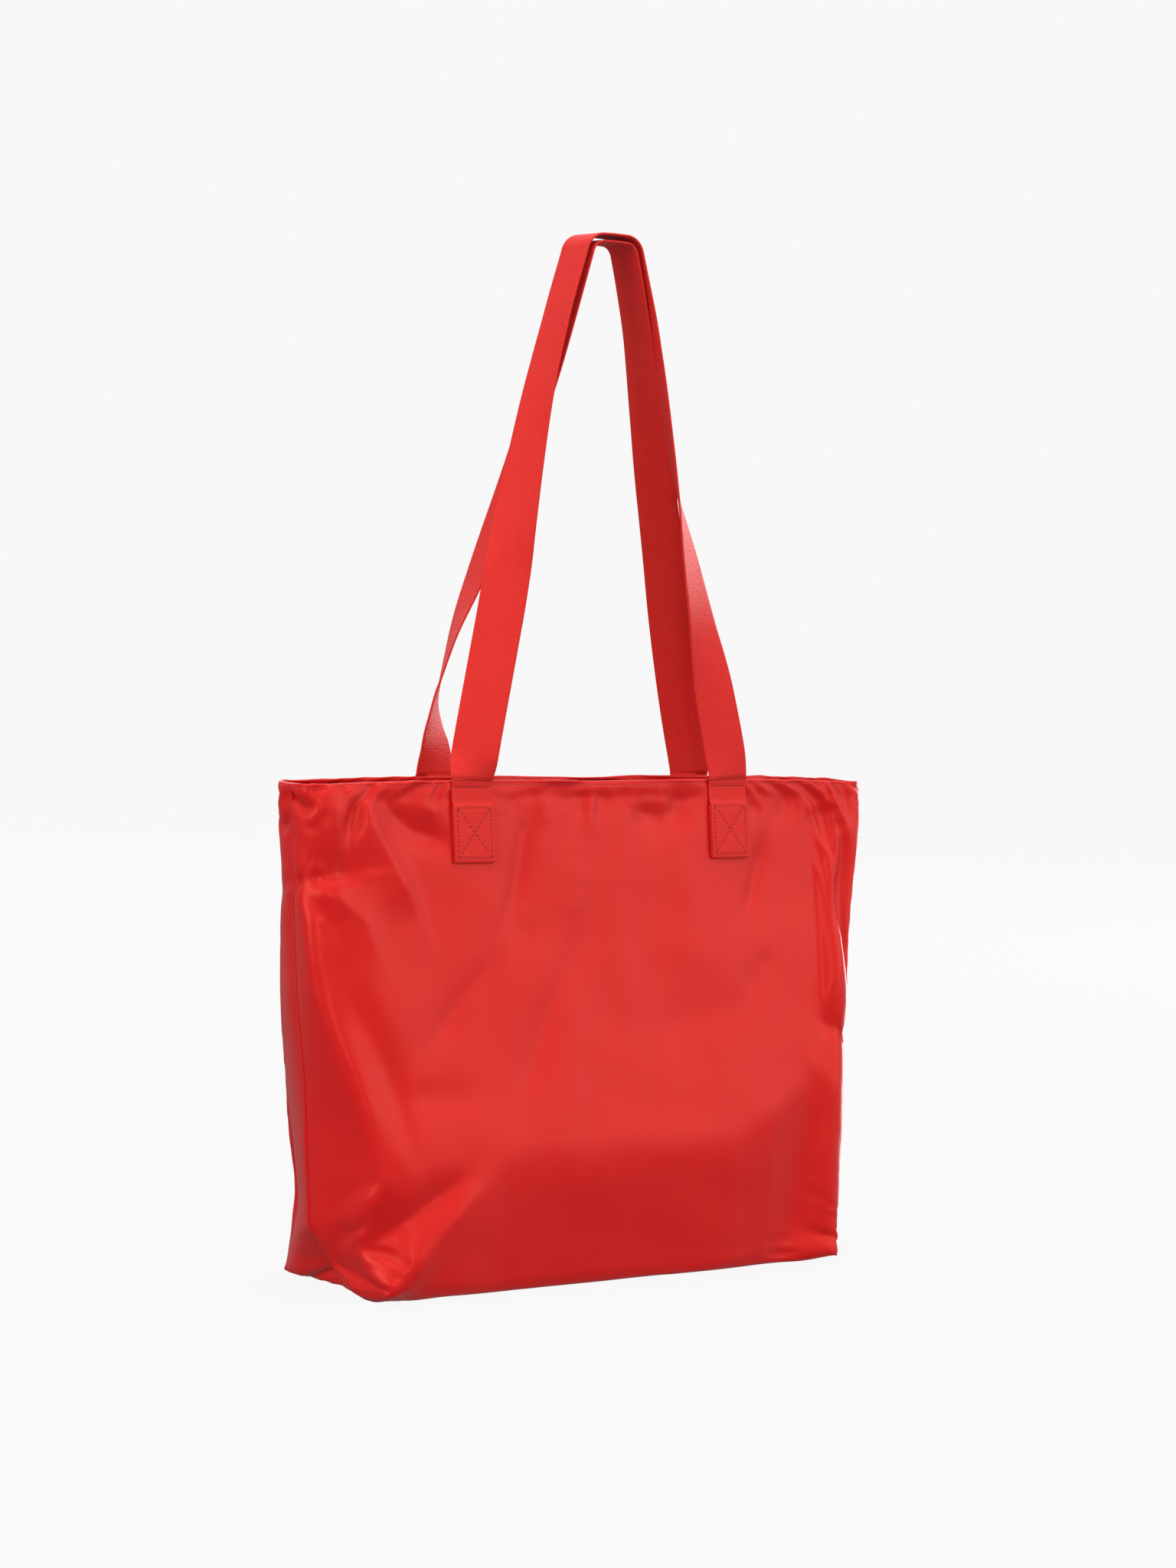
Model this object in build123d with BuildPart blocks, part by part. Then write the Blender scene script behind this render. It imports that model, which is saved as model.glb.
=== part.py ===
"""Foldable tote bag: a light cloth bag with a boxed base and two webbing shoulder handles.

Frame: millimetres, +Z up, the origin at the middle of the base where the bag stands, +X along the
bag's width and the front panel facing -Y. Each half of the bag is a flat-pattern cloth panel, so the
base's depth and the mouth's width come out of one cloth width.
"""
import os
from math import atan2, cos, degrees, hypot, pi, radians, sin

from build123d import *

os.makedirs("parts", exist_ok=True)

# Driving sizes of the bag body
cloth_width = 510.0       # one panel laid flat, side seam to side seam
base_depth = 135.0
base_width = cloth_width - base_depth
height = 340.0            # from the base to the mouth
mouth_depth = 41.0
mouth_width = cloth_width - mouth_depth
cloth = 1.2               # thickness given to the cloth walls
gap = 0.3                 # room between pieces that move against each other
layer_gap = 0.1           # room between layers sewn to each other
foot_gap = 0.6            # room between a wall's foot and the base's cloth
hem_depth = 10.0
hem_thick = 0.8
hem_inset = 1.0           # a hem stops this far short of its wall's corners

# Webbing handles
strap_width = 32.0
strap_thick = 1.8
strap_spread = 107.0      # from the bag's middle to the middle of a sewn end
sewn_length = 55.0        # how far a sewn end reaches below the mouth
hem_setback = 2.0         # a sewn end stops this far below the mouth edge
fold_length = 38.0        # the part of a sewn end that is folded under, so doubled
loop_top = 714.0          # the highest point of the handles, held up
loop_radius = 14.0        # bend of the outer handle at its top
loop_flat = 9.4           # half the flat stretch at the top
layer_pitch = 5.0         # outer handle's mid line to inner handle's mid line at the top
leg_slope = radians(13.4)  # a leg's lean from upright towards the middle, seen from the front
root_height = height + 1.0
root_offset = mouth_depth / 2 + 2.5
leg_bow = 2.3             # sideways bow of a leg at its middle
# How far the webbing still faces forward (degrees) at each share of a leg, from mouth to top
leg_twist = [(0.0, 90), (0.03, 80), (0.08, 58), (0.28, 36), (0.42, 26), (0.55, 18), (0.8, 2), (1.0, 0)]

# Box-and-cross stitching on each sewn end
stitch_width = 26.5
stitch_height = 34.0
stitch_drop = 17.0        # from the mouth edge to the stitched box
thread = 0.7
thread_proud = 0.4
row_drop = 2.5            # from the webbing's top edge to the row of stitches there

# Zipped inner pocket on the back panel
pocket_width = 180.0
pocket_height = 120.0
pocket_drop = 30.0        # from the mouth edge to the pocket's top
zip_drop = 42.0           # from the mouth edge to the zip's coil
pocket_thick = 0.6
zip_reveal = 3.5          # how much of each tape shows beside the coil
tape_setback = 2.0        # the tapes stop this far inside the pocket's sides
tape_width = 10.0
tape_thick = 0.5
coil_width = 4.0
coil_thick = 1.4
zip_half = 84.0           # half the coil's length
slider_length = 9.0
slider_width = 7.4
slider_wall = 1.0
slider_corner = 1.6
stop_length = 2.4
stop_gap = 0.4            # between the coil's end and its stop
stop_proud = 0.4
lug_length = 3.2          # the two lugs on the slider that carry the pull's pin
lug_thick = 1.0
lug_spread = 2.6          # from the zip's line to the middle of a lug
lug_top = 0.5             # metal over the pin
pin_radius = 0.5
pin_clear = 0.9           # room under the pin for the pull's eye
pull_length = 20.0
pull_width = 5.6
pull_thick = 0.9
eye_wall = 0.7            # metal round the pull's eye
eye_play = 0.2
eye_length = 3.8
pull_hole = 1.3

# Sewn-in tapes and label
tape_binding = 8.0
binding_thick = 0.9
binding_start = 1.0       # a side binding stops this far below the hem
binding_rise = 3.0        # and this far above the wall's foot
corner_inset = 4.0        # from the base's edges to the corner bindings
label_width = 22.0
label_height = 36.0
label_corner = 1.5
label_thick = 0.5
label_drop = 60.0         # from the mouth edge to the label's top

lean_in = (base_depth - mouth_depth) / 2      # front and back panels lean in by this much
lean_out = (mouth_width - base_width) / 2     # the sides spread by this much
panel_length = hypot(height, lean_in)         # up the slope of the front panel
gusset_length = hypot(height, lean_out)       # up the slope of a side
panel_foot = cloth + foot_gap                 # up the slope, where the walls start above the base

front_face = Plane(origin=(0, -base_depth / 2, 0), x_dir=(1, 0, 0), z_dir=(0, -height, lean_in))
back_face = Plane(origin=(0, base_depth / 2, 0), x_dir=(-1, 0, 0), z_dir=(0, height, lean_in))
left_face = Plane(origin=(-base_width / 2, 0, 0), x_dir=(0, -1, 0), z_dir=(-height, 0, -lean_out))
right_face = Plane(origin=(base_width / 2, 0, 0), x_dir=(0, 1, 0), z_dir=(height, 0, -lean_out))


def save(part, name):
    part.label = name
    export_step(part, "parts/" + name + ".step")


def panel_half_width(up):
    """Half the front panel's width at a distance up its slope."""
    return base_width / 2 + lean_out * up / panel_length


def gusset_half_width(up):
    """Half the side's width at a distance up its slope, clear of the front and back panels."""
    return base_depth / 2 - lean_in * up / gusset_length - cloth - gap - layer_gap


def wall_panel(face):
    """Front or back cloth panel on a face of the body."""
    with BuildPart() as panel:
        with BuildSketch(face):
            with BuildLine():
                low = panel_half_width(panel_foot)
                high = panel_half_width(panel_length)
                Polyline(
                    (-low, panel_foot), (low, panel_foot), (high, panel_length), (-high, panel_length), close=True
                )
            make_face()
        extrude(amount=-cloth)
    return panel.part


def half_gusset(face, side):
    """Half of a side wall, from the side seam towards the front or the back."""
    with BuildPart() as gusset:
        with BuildSketch(face):
            with BuildLine():
                low = side * gusset_half_width(panel_foot)
                high = side * gusset_half_width(gusset_length)
                seam = side * layer_gap / 2
                Polyline(
                    (seam, panel_foot), (low, panel_foot), (high, gusset_length), (seam, gusset_length), close=True
                )
            make_face()
        extrude(amount=-cloth)
    return gusset.part


def strip(face, width, low, high, offset, thick):
    """Flat strip on a face, centred across it; offset and thick run outward from the face."""
    with BuildPart() as band:
        with BuildSketch(face.offset(offset)):
            with Locations((0, (low + high) / 2)):
                Rectangle(width, high - low)
        extrude(amount=thick)
    return band.part


def hem(face, length, half_width):
    """Turned-in mouth edge on the inside of a wall."""
    width = 2 * half_width(length - hem_depth) - 2 * (2 * cloth + hem_inset)
    return strip(face, width, length - hem_depth, length, -cloth - layer_gap, -hem_thick)


def handle_end(face, x):
    """Sewn webbing end: one layer at the mouth, two where the end is folded under."""
    low = panel_length - sewn_length
    high = panel_length - hem_setback
    with BuildPart() as end:
        with BuildSketch(face.offset(layer_gap)):
            with Locations((x, (low + high) / 2)):
                Rectangle(strap_width, high - low)
        extrude(amount=strap_thick)
        with BuildSketch(face.offset(layer_gap + strap_thick)):
            with Locations((x, low + fold_length / 2)):
                Rectangle(strap_width, fold_length)
        extrude(amount=strap_thick)
    return end.part


def box_stitching(face):
    """Sewing thread on both handle ends of a wall: a box with a cross, and a row near the mouth."""
    box_middle = panel_length - stitch_drop - stitch_height / 2
    diagonal = hypot(stitch_width, stitch_height)
    slant = degrees(atan2(stitch_height, stitch_width))
    with BuildPart() as thread_group:
        with BuildSketch(face.offset(1.5 * layer_gap + 2 * strap_thick)):
            with Locations((-strap_spread, box_middle), (strap_spread, box_middle)):
                Rectangle(stitch_width, stitch_height)
                Rectangle(stitch_width - 2 * thread, stitch_height - 2 * thread, mode=Mode.SUBTRACT)
                Rectangle(diagonal - thread, thread, rotation=slant)
                Rectangle(diagonal - thread, thread, rotation=-slant)
        extrude(amount=thread_proud)
        with BuildSketch(face.offset(1.5 * layer_gap + strap_thick)):
            row = panel_length - hem_setback - row_drop
            with Locations((-strap_spread, row), (strap_spread, row)):
                Rectangle(stitch_width, thread)
        extrude(amount=thread_proud)
    return thread_group.part


def handle_stations(facing, radius, bow):
    """Section planes along a handle loop, from one mouth end over the top to the other.

    facing is -1 for the handle on the front and 1 for the one on the back. Each plane has the
    webbing's width along x and its run along z.
    """
    arc_z = loop_top - strap_thick / 2 - loop_radius
    end_x = loop_flat + radius * cos(leg_slope)
    end_z = arc_z + radius * sin(leg_slope)

    side = []
    for share, twist in leg_twist:
        x = strap_spread + (end_x - strap_spread) * share + bow * sin(pi * share)
        y = facing * root_offset * (1 - share)
        z = root_height + (end_z - root_height) * share
        side.append((Vector(x, y, z), leg_slope if share else 0.0, radians(twist)))
    for step in range(1, 5):
        turn = leg_slope + (pi / 2 - leg_slope) * step / 4
        side.append((Vector(loop_flat + radius * cos(turn), 0, arc_z + radius * sin(turn)), turn, 0.0))

    def section(place, turn, twist, mirror):
        run = Vector(sin(turn), 0, -mirror * cos(turn))
        out = Vector(mirror * cos(turn), 0, sin(turn))
        normal = Vector(0, facing, 0) * sin(twist) + out * cos(twist)
        return Plane(origin=(mirror * place.X, place.Y, place.Z), x_dir=run.cross(normal), z_dir=run)

    left = [section(*item, mirror=-1) for item in side]
    right = [section(*item, mirror=1) for item in reversed(side)]
    return left + right


def handle_loop(facing, radius, bow):
    """Free part of a handle: flat webbing that turns from facing outward to lying over the top."""
    with BuildPart() as loop:
        for station in handle_stations(facing, radius, bow):
            with BuildSketch(station):
                Rectangle(strap_width, strap_thick)
        loft(ruled=True)
    return loop.part


# The base and the sides, which stay put
with BuildPart() as base_panel:
    Box(base_width, base_depth, cloth, align=(Align.CENTER, Align.CENTER, Align.MIN))
save(base_panel.part, "base_panel")

for side_name, face in (("left", left_face), ("right", right_face)):
    front_side = 1 if side_name == "left" else -1
    save(half_gusset(face, front_side), side_name + "_gusset_front")
    save(half_gusset(face, -front_side), side_name + "_gusset_back")
    save(hem(face, gusset_length, gusset_half_width), side_name + "_hem")
    seam_top = gusset_length - hem_depth - binding_start
    seam_foot = panel_foot + binding_rise
    save(strip(face, tape_binding, seam_foot, seam_top, -cloth - layer_gap, -binding_thick), side_name + "_side_seam")

for side_name, side in (("left", -1), ("right", 1)):
    with BuildPart() as corner_seam:
        with BuildSketch(Plane.XY.offset(cloth + layer_gap)):
            with Locations((side * (base_width / 2 - corner_inset - tape_binding / 2), 0)):
                Rectangle(tape_binding, base_depth - 2 * corner_inset)
        extrude(amount=binding_thick)
    save(corner_seam.part, side_name + "_corner_seam")

with BuildPart() as bottom_seam:
    with BuildSketch(Plane.XY.offset(cloth + layer_gap)):
        Rectangle(base_width - 2 * (1.5 * corner_inset + tape_binding), tape_binding)
    extrude(amount=binding_thick)
save(bottom_seam.part, "bottom_seam")

label_middle = gusset_length - label_drop - label_height / 2
with BuildPart() as care_label:
    with BuildSketch(left_face.offset(-cloth - binding_thick - 3 * layer_gap)):
        with Locations((0, label_middle)):
            RectangleRounded(label_width, label_height, label_corner)
    extrude(amount=-label_thick)
save(care_label.part, "care_label")

# The front and back walls, with what is sewn to them. The back face's x runs the other way.
for wall_name, face, facing in (("front", front_face, 1), ("back", back_face, -1)):
    save(wall_panel(face), wall_name + "_panel")
    save(hem(face, panel_length, panel_half_width), wall_name + "_hem")
    save(handle_end(face, -facing * strap_spread), wall_name + "_left_handle_end")
    save(handle_end(face, facing * strap_spread), wall_name + "_right_handle_end")
    save(box_stitching(face), wall_name + "_box_stitching")

# The handles' free loops: the front one lies over the back one at the top
save(handle_loop(-1, loop_radius, leg_bow), "front_handle")
save(handle_loop(1, loop_radius - layer_pitch, -leg_bow), "back_handle")

# The zipped pocket, inside on the back panel. Its layers build up inward from the wall.
zip_line = panel_length - zip_drop
pocket_top = panel_length - pocket_drop
pocket_foot = pocket_top - pocket_height
tape_layer = cloth + 2 * layer_gap
pocket_layer = tape_layer + tape_thick + layer_gap

for tape_name, low in (
    ("zip_tape_lower", zip_line - coil_width / 2 - tape_width),
    ("zip_tape_upper", zip_line + coil_width / 2),
):
    tape = strip(back_face, pocket_width - 2 * tape_setback, low, low + tape_width, -tape_layer, -tape_thick)
    save(tape, tape_name)
opening = coil_width / 2 + zip_reveal
pocket_cloth = {"offset": -pocket_layer, "thick": -pocket_thick}
save(strip(back_face, pocket_width, pocket_foot, zip_line - opening, **pocket_cloth), "pocket_panel")
save(strip(back_face, pocket_width, zip_line + opening, pocket_top, **pocket_cloth), "pocket_header")
coil_half = coil_width / 2 - layer_gap
save(strip(back_face, 2 * zip_half, zip_line - coil_half, zip_line + coil_half, -tape_layer, -coil_thick), "zip_coil")

with BuildPart() as zip_end_stops:
    with BuildSketch(back_face.offset(-tape_layer)):
        stop_x = zip_half + stop_gap + stop_length / 2
        with Locations((-stop_x, zip_line), (stop_x, zip_line)):
            Rectangle(stop_length, 2 * coil_half)
    extrude(amount=-coil_thick - stop_proud)
save(zip_end_stops.part, "zip_end_stops")

# The slider straddles the coil. It rests closed, at the end towards local +x, and slides the other way.
slider_x = zip_half - slider_length / 2 - 1
saddle_top = coil_thick + gap + slider_wall
pin_height = saddle_top + 2 * pin_radius + pin_clear
slider_lift = tape_thick + 2 * layer_gap
slider_floor = back_face.offset(-tape_layer - slider_lift)
saddle_rise = saddle_top - slider_lift
with BuildPart() as zip_slider:
    with BuildSketch(slider_floor):
        with Locations((slider_x, zip_line)):
            RectangleRounded(slider_length, slider_width, slider_corner)
    extrude(amount=-saddle_rise)
    with BuildSketch(slider_floor):
        with Locations((slider_x, zip_line)):
            Rectangle(slider_length + 2, coil_width + 2 * gap)
    extrude(amount=-(saddle_rise - slider_wall), mode=Mode.SUBTRACT)
    with BuildSketch(back_face.offset(-tape_layer - saddle_top)):
        with Locations((slider_x, zip_line - lug_spread), (slider_x, zip_line + lug_spread)):
            Rectangle(lug_length, lug_thick)
    extrude(amount=-(pin_height - saddle_top + pin_radius + lug_top))
    pin_half = lug_spread + lug_thick / 2
    pin_axis = Plane(
        origin=back_face.offset(-tape_layer - pin_height).from_local_coords((slider_x, zip_line - pin_half, 0)),
        x_dir=back_face.x_dir,
        z_dir=back_face.y_dir,
    )
    with BuildSketch(pin_axis):
        Circle(pin_radius)
    extrude(amount=2 * pin_half)
save(zip_slider.part, "zip_slider")

with BuildPart() as zip_pull:
    with BuildSketch(pin_axis.offset(pin_half - eye_length / 2)):
        Circle(pin_radius + eye_play + eye_wall)
        Circle(pin_radius + eye_play, mode=Mode.SUBTRACT)
    extrude(amount=eye_length)
    with BuildSketch(back_face.offset(-tape_layer - pin_height + pull_thick / 2)):
        neck = pin_radius + 0.6
        with Locations((slider_x - neck - pull_length / 2, zip_line)):
            SlotOverall(pull_length, pull_width)
        with Locations((slider_x - neck - 1.0, zip_line)):
            Rectangle(2.0, eye_length)
        with Locations((slider_x, zip_line)):
            Rectangle(2 * neck, slider_width, mode=Mode.SUBTRACT)
        with Locations((slider_x - pull_length + 3.4, zip_line)):
            Circle(pull_hole, mode=Mode.SUBTRACT)
    extrude(amount=-pull_thick)
save(zip_pull.part, "zip_pull")
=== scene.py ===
"""Looks of the foldable tote bag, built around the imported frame: simulated cloth, webbing handles,
seams, stitching, the zipped inner pocket, materials, light and camera."""
from math import cos, hypot, pi, radians, sin

import bmesh
import bpy
import numpy as np
from mathutils import Matrix, Vector


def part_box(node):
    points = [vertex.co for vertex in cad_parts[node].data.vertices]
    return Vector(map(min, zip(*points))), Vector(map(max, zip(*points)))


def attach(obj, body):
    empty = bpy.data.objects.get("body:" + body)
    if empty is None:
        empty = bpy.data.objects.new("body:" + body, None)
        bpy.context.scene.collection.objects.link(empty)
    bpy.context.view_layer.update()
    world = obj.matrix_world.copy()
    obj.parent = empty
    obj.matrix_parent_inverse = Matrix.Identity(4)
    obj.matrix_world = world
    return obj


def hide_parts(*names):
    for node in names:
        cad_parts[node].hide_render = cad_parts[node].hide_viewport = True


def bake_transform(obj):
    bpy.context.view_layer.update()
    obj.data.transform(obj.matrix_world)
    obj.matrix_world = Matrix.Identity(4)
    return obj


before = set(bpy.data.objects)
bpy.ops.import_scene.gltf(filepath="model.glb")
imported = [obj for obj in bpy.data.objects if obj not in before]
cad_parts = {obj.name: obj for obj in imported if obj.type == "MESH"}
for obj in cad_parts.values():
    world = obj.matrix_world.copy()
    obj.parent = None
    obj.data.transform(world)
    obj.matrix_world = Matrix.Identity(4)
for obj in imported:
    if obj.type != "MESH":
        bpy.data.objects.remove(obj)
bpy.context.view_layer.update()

MM = 0.001

# ---------------------------------------------------------------- sizes, from the frame (in mm)
base_low, base_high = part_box("base_panel")
panel_low, panel_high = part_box("front_panel")
end_low, end_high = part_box("front_right_handle_end")

BASE_WIDTH = (base_high.x - base_low.x) / MM
BASE_DEPTH = (base_high.y - base_low.y) / MM
HALF_DEPTH = BASE_DEPTH / 2
HEIGHT = panel_high.z / MM
CLOTH_WIDTH = BASE_WIDTH + BASE_DEPTH
MOUTH_HALF = panel_high.x / MM
MOUTH_HALF_DEPTH = CLOTH_WIDTH / 2 - MOUTH_HALF
STRAP_SPREAD = (end_low.x + end_high.x) / 2 / MM
STRAP_WIDTH = (end_high.x - end_low.x) / MM
SEWN_LENGTH = 55.0
HEM_DEPTH = 10.0
MOUTH_HEIGHT = HEIGHT + 1.0
MOUTH_RADIUS = 9.0
CLOTH_THICK = 0.7
LOWEST = 0.7


def smooth(t):
    t = np.clip(t, 0, 1)
    return t * t * (3 - 2 * t)


# ---------------------------------------------------------------- the cloth's cutting pattern
class Pattern:
    """Grid over the bag's cloth, sewn up: a ring round the body and a sheet under the base.

    n is the number of grid steps in half the base's depth. ring[row, column] starts at the left
    side seam at the mouth and runs across the front; under[row, column] runs from the front
    bottom edge to the back one. Each boxed corner shares its seam's vertices with the ring.
    """

    def __init__(self, n):
        self.n = n
        self.step = HALF_DEPTH / n
        self.wide = round(BASE_WIDTH / self.step)
        self.rows = round(HEIGHT / self.step)
        self.row_step = HEIGHT / self.rows
        self.around = 2 * (self.wide + 2 * n)
        self.half = self.around // 2
        self.ring = np.arange((self.rows + 1) * self.around).reshape(self.rows + 1, self.around)
        foot = self.ring[self.rows]
        under = np.zeros((2 * n + 1, self.wide + 1), int)
        inner = (2 * n - 1) * (self.wide - 1)
        under[1:-1, 1:-1] = self.ring.size + np.arange(inner).reshape(2 * n - 1, self.wide - 1)
        under[0] = foot[n:n + self.wide + 1]
        under[-1] = foot[(self.around - n - np.arange(self.wide + 1)) % self.around]
        k = np.arange(2 * n + 1)
        under[:, 0] = foot[(n - k) % self.around]
        under[:, -1] = foot[n + self.wide + k]
        self.under = under
        self.count = self.ring.size + inner

    def quads(self):
        """(front quads, back quads), wound to face outward."""
        r = np.concatenate([self.ring, self.ring[:, :1]], axis=1)
        body = np.stack([r[:-1, :-1], r[1:, :-1], r[1:, 1:], r[:-1, 1:]], axis=-1)
        u = self.under
        base = np.stack([u[:-1, :-1], u[1:, :-1], u[1:, 1:], u[:-1, 1:]], axis=-1)
        front = [body[:, :self.half].reshape(-1, 4), base[:self.n].reshape(-1, 4)]
        back = [body[:, self.half:].reshape(-1, 4), base[self.n:].reshape(-1, 4)]
        return np.concatenate(front), np.concatenate(back)

    def springs(self, stretch, shear, bend):
        """Distance constraints as (first, second, rest length, stiffness), with no vertex twice in one."""
        found = []

        def add(grid_a, grid_b, rest, k, axis, span):
            line = np.arange(grid_a.shape[axis]) // span
            for parity in (0, 1):
                pick = np.compress(line % 2 == parity, grid_a, axis=axis).ravel()
                mate = np.compress(line % 2 == parity, grid_b, axis=axis).ravel()
                keep = pick != mate
                found.append((pick[keep], mate[keep], rest, k))

        s, t = self.step, self.row_step
        ring, under = self.ring, self.under
        nxt = np.roll(ring, -1, axis=1)
        add(ring, nxt, s, stretch, 1, 1)
        add(ring[:-1], ring[1:], t, stretch, 0, 1)
        add(ring[:-1], nxt[1:], hypot(s, t), shear, 1, 1)
        add(nxt[:-1], ring[1:], hypot(s, t), shear, 1, 1)
        add(ring, np.roll(ring, -2, axis=1), 2 * s, bend, 1, 2)
        add(ring[:-2], ring[2:], 2 * t, bend, 0, 2)
        inner = under[1:-1]
        add(inner[:, :-1], inner[:, 1:], s, stretch, 1, 1)
        add(under[:-1, 1:-1], under[1:, 1:-1], s, stretch, 0, 1)
        add(under[:-1, :-1], under[1:, 1:], hypot(s, s), shear, 1, 1)
        add(under[:-1, 1:], under[1:, :-1], hypot(s, s), shear, 1, 1)
        add(inner[:, :-2], inner[:, 2:], 2 * s, bend, 1, 2)
        add(under[:-2, 1:-1], under[2:, 1:-1], 2 * s, bend, 0, 2)
        above = ring[self.rows - 1]
        columns = np.arange(1, self.wide)
        for line, mates in ((under[1], above[self.n + columns]),
                            (under[-2], above[self.around - self.n - columns])):
            found.append((mates, line[1:-1], s + t, bend))
        return found

    def pattern_place(self):
        """Each vertex's place on the flat pattern: along from the left side seam, and down from the mouth."""
        along = np.zeros(self.count)
        down = np.zeros(self.count)
        column = np.arange(self.around)
        s = np.where(column <= self.half, column, self.around - column) * self.step
        for row in range(self.rows + 1):
            along[self.ring[row]] = s
            down[self.ring[row]] = row * self.row_step
        k = np.minimum(np.arange(2 * self.n + 1), np.arange(2 * self.n, -1, -1))
        inner = self.under[1:-1, 1:-1]
        along[inner] = (self.n + np.arange(1, self.wide))[None, :] * self.step
        down[inner] = HEIGHT + k[1:-1, None] * self.step
        return along, down

    def refine(self, places, finer):
        """These positions carried over to a finer pattern."""
        out = np.zeros((finer.count, 3))

        def resample(grid, count):
            at = np.linspace(0, len(grid) - 1, count)
            low = np.minimum(at.astype(int), len(grid) - 2)
            share = (at - low)[:, None, None]
            return grid[low] * (1 - share) + grid[low + 1] * share

        def both_ways(grid, rows, columns):
            grid = resample(places[grid], rows)
            return resample(grid.transpose(1, 0, 2), columns).transpose(1, 0, 2)

        wrapped = np.concatenate([self.ring, self.ring[:, :1]], axis=1)
        out[finer.under] = both_ways(self.under, 2 * finer.n + 1, finer.wide + 1)
        out[finer.ring] = both_ways(wrapped, finer.rows + 1, finer.around + 1)[:, :-1]
        return out


def rounded_loop(half_width, half_depth, radius, count):
    """Points evenly spaced round a rounded rectangle, from the middle of its left end across the front."""
    straight_x = half_width - radius
    straight_y = half_depth - radius
    quarter = pi * radius / 2
    lengths = [straight_y, quarter, 2 * straight_x, quarter, straight_y]
    stops = np.concatenate([[0], np.cumsum(lengths)])
    at = np.linspace(0, stops[-1], count // 2 + 1)
    part = np.clip(np.searchsorted(stops, at, side="right") - 1, 0, 4)
    d = at - stops[part]
    turn = d / max(radius, 1e-6)
    x = np.choose(part, [np.full_like(d, -half_width), -straight_x - radius * np.cos(turn), -straight_x + d,
                         straight_x + radius * np.sin(turn), np.full_like(d, half_width)])
    y = np.choose(part, [-d, -straight_y - radius * np.sin(turn), np.full_like(d, -half_depth),
                         -straight_y - radius * np.cos(turn), -straight_y + d])
    front = np.stack([x, y], axis=1)
    back = front[::-1][1:-1] * [1, -1]
    return np.concatenate([front, back])


def mouth_edge(pattern):
    """The mouth's line, held in shape: a long narrow loop, level at the straps and a little lower between."""
    loop = rounded_loop(MOUTH_HALF, MOUTH_HALF_DEPTH, MOUTH_RADIUS, pattern.around)
    x, y = loop[:, 0], loop[:, 1]
    reach = np.clip(1 - (np.abs(x) / MOUTH_HALF) ** 8, 0, 1)
    strapped = np.clip(np.abs(np.abs(x) - STRAP_SPREAD) / STRAP_WIDTH - 0.5, 0, 1)
    wave = 1.3 * np.sin(x / 17 + 0.6) * np.sign(-y) + 0.8 * np.sin(x / 9.5 + 2.0)
    y = y + wave * smooth(strapped) * reach
    z = MOUTH_HEIGHT - 2.6 * (np.abs(x) / MOUTH_HALF) ** 3 - 1.0 * np.exp(-(x / 50) ** 2)
    x = x - 3.2 * smooth((x - 180) / 54)
    return np.stack([x, y, z], axis=1)


def start_shape(pattern):
    """The body drawn out straight from the base to the mouth, with the base flat."""
    places = np.zeros((pattern.count, 3))
    top = mouth_edge(pattern)
    foot = rounded_loop(BASE_WIDTH / 2, HALF_DEPTH, 0.01, pattern.around)
    for row in range(pattern.rows + 1):
        share = row / pattern.rows
        places[pattern.ring[row], :2] = top[:, :2] * (1 - share) + foot * share
        places[pattern.ring[row], 2] = top[:, 2] * (1 - share) + 6.0 * share
    x = np.linspace(-BASE_WIDTH / 2, BASE_WIDTH / 2, pattern.wide + 1)
    y = np.linspace(-HALF_DEPTH, HALF_DEPTH, 2 * pattern.n + 1)
    inner = pattern.under[1:-1, 1:-1]
    places[inner, 0] = x[None, 1:-1]
    places[inner, 1] = y[1:-1, None]
    places[inner, 2] = 3.0
    return places


def vertex_normals(places, quads):
    across = np.cross(places[quads[:, 2]] - places[quads[:, 0]], places[quads[:, 3]] - places[quads[:, 1]])
    total = np.stack([
        np.bincount(quads.ravel(), np.repeat(across[:, axis], 4), len(places)) for axis in range(3)
    ], axis=1)
    return total / np.maximum(np.linalg.norm(total, axis=1, keepdims=True), 1e-9)


# The wall's middle line from the mouth down and under the base: (run along the cloth, lean from straight down in
# degrees, share of the belly's drop). The wall leans out to a low belly, turns under it and rests on the floor.
PANEL_DEGREES = 7.87
FOOT_RUN = 352
BELLY = [(0, PANEL_DEGREES, 0), (60, PANEL_DEGREES, 0), (100, 9.5, 0), (200, 12.5, 1), (240, 12.5, 1), (262, 0, 1),
         (275, -4.0, 1), (334, -5.0, 0), (341, -30, 0), (347, -60, 0), (FOOT_RUN, -88, 0)]
# How much lower than that the belly turns, by distance along from the left side seam
BELLY_DROP = [(80, 27), (126, 22), (160, 3), (190, 0), (350, -2), (384, -12), (421, -45)]
BASE_HUMP = 9.0


def belly_line(drop=0.0):
    """(run, outward, height) along the wall's middle line."""
    at, lean, dropped = np.transpose(BELLY)
    run = np.arange(0, FOOT_RUN + 1, 1.0)
    lean = np.radians(np.interp(run, at + dropped * drop, lean))
    outward = MOUTH_HALF_DEPTH + np.concatenate([[0], np.cumsum(np.sin(lean))[:-1]])
    height = MOUTH_HEIGHT - np.concatenate([[0], np.cumsum(np.cos(lean))[:-1]])
    middle = HEIGHT + HALF_DEPTH
    under = np.linspace(0, 1, 12)[1:]
    run = np.concatenate([run, FOOT_RUN + (middle - FOOT_RUN) * under])
    outward = np.concatenate([outward, outward[-1] * (1 - under)])
    height = np.concatenate([height, BASE_HUMP * np.sin(pi * under) ** 2])
    return run, outward, np.maximum(height, LOWEST)


# The part of the back wall that the zipped pocket's top keeps flat: half its width, and its top and foot
POCKET_HOLD = (95, 26, 60)


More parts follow.
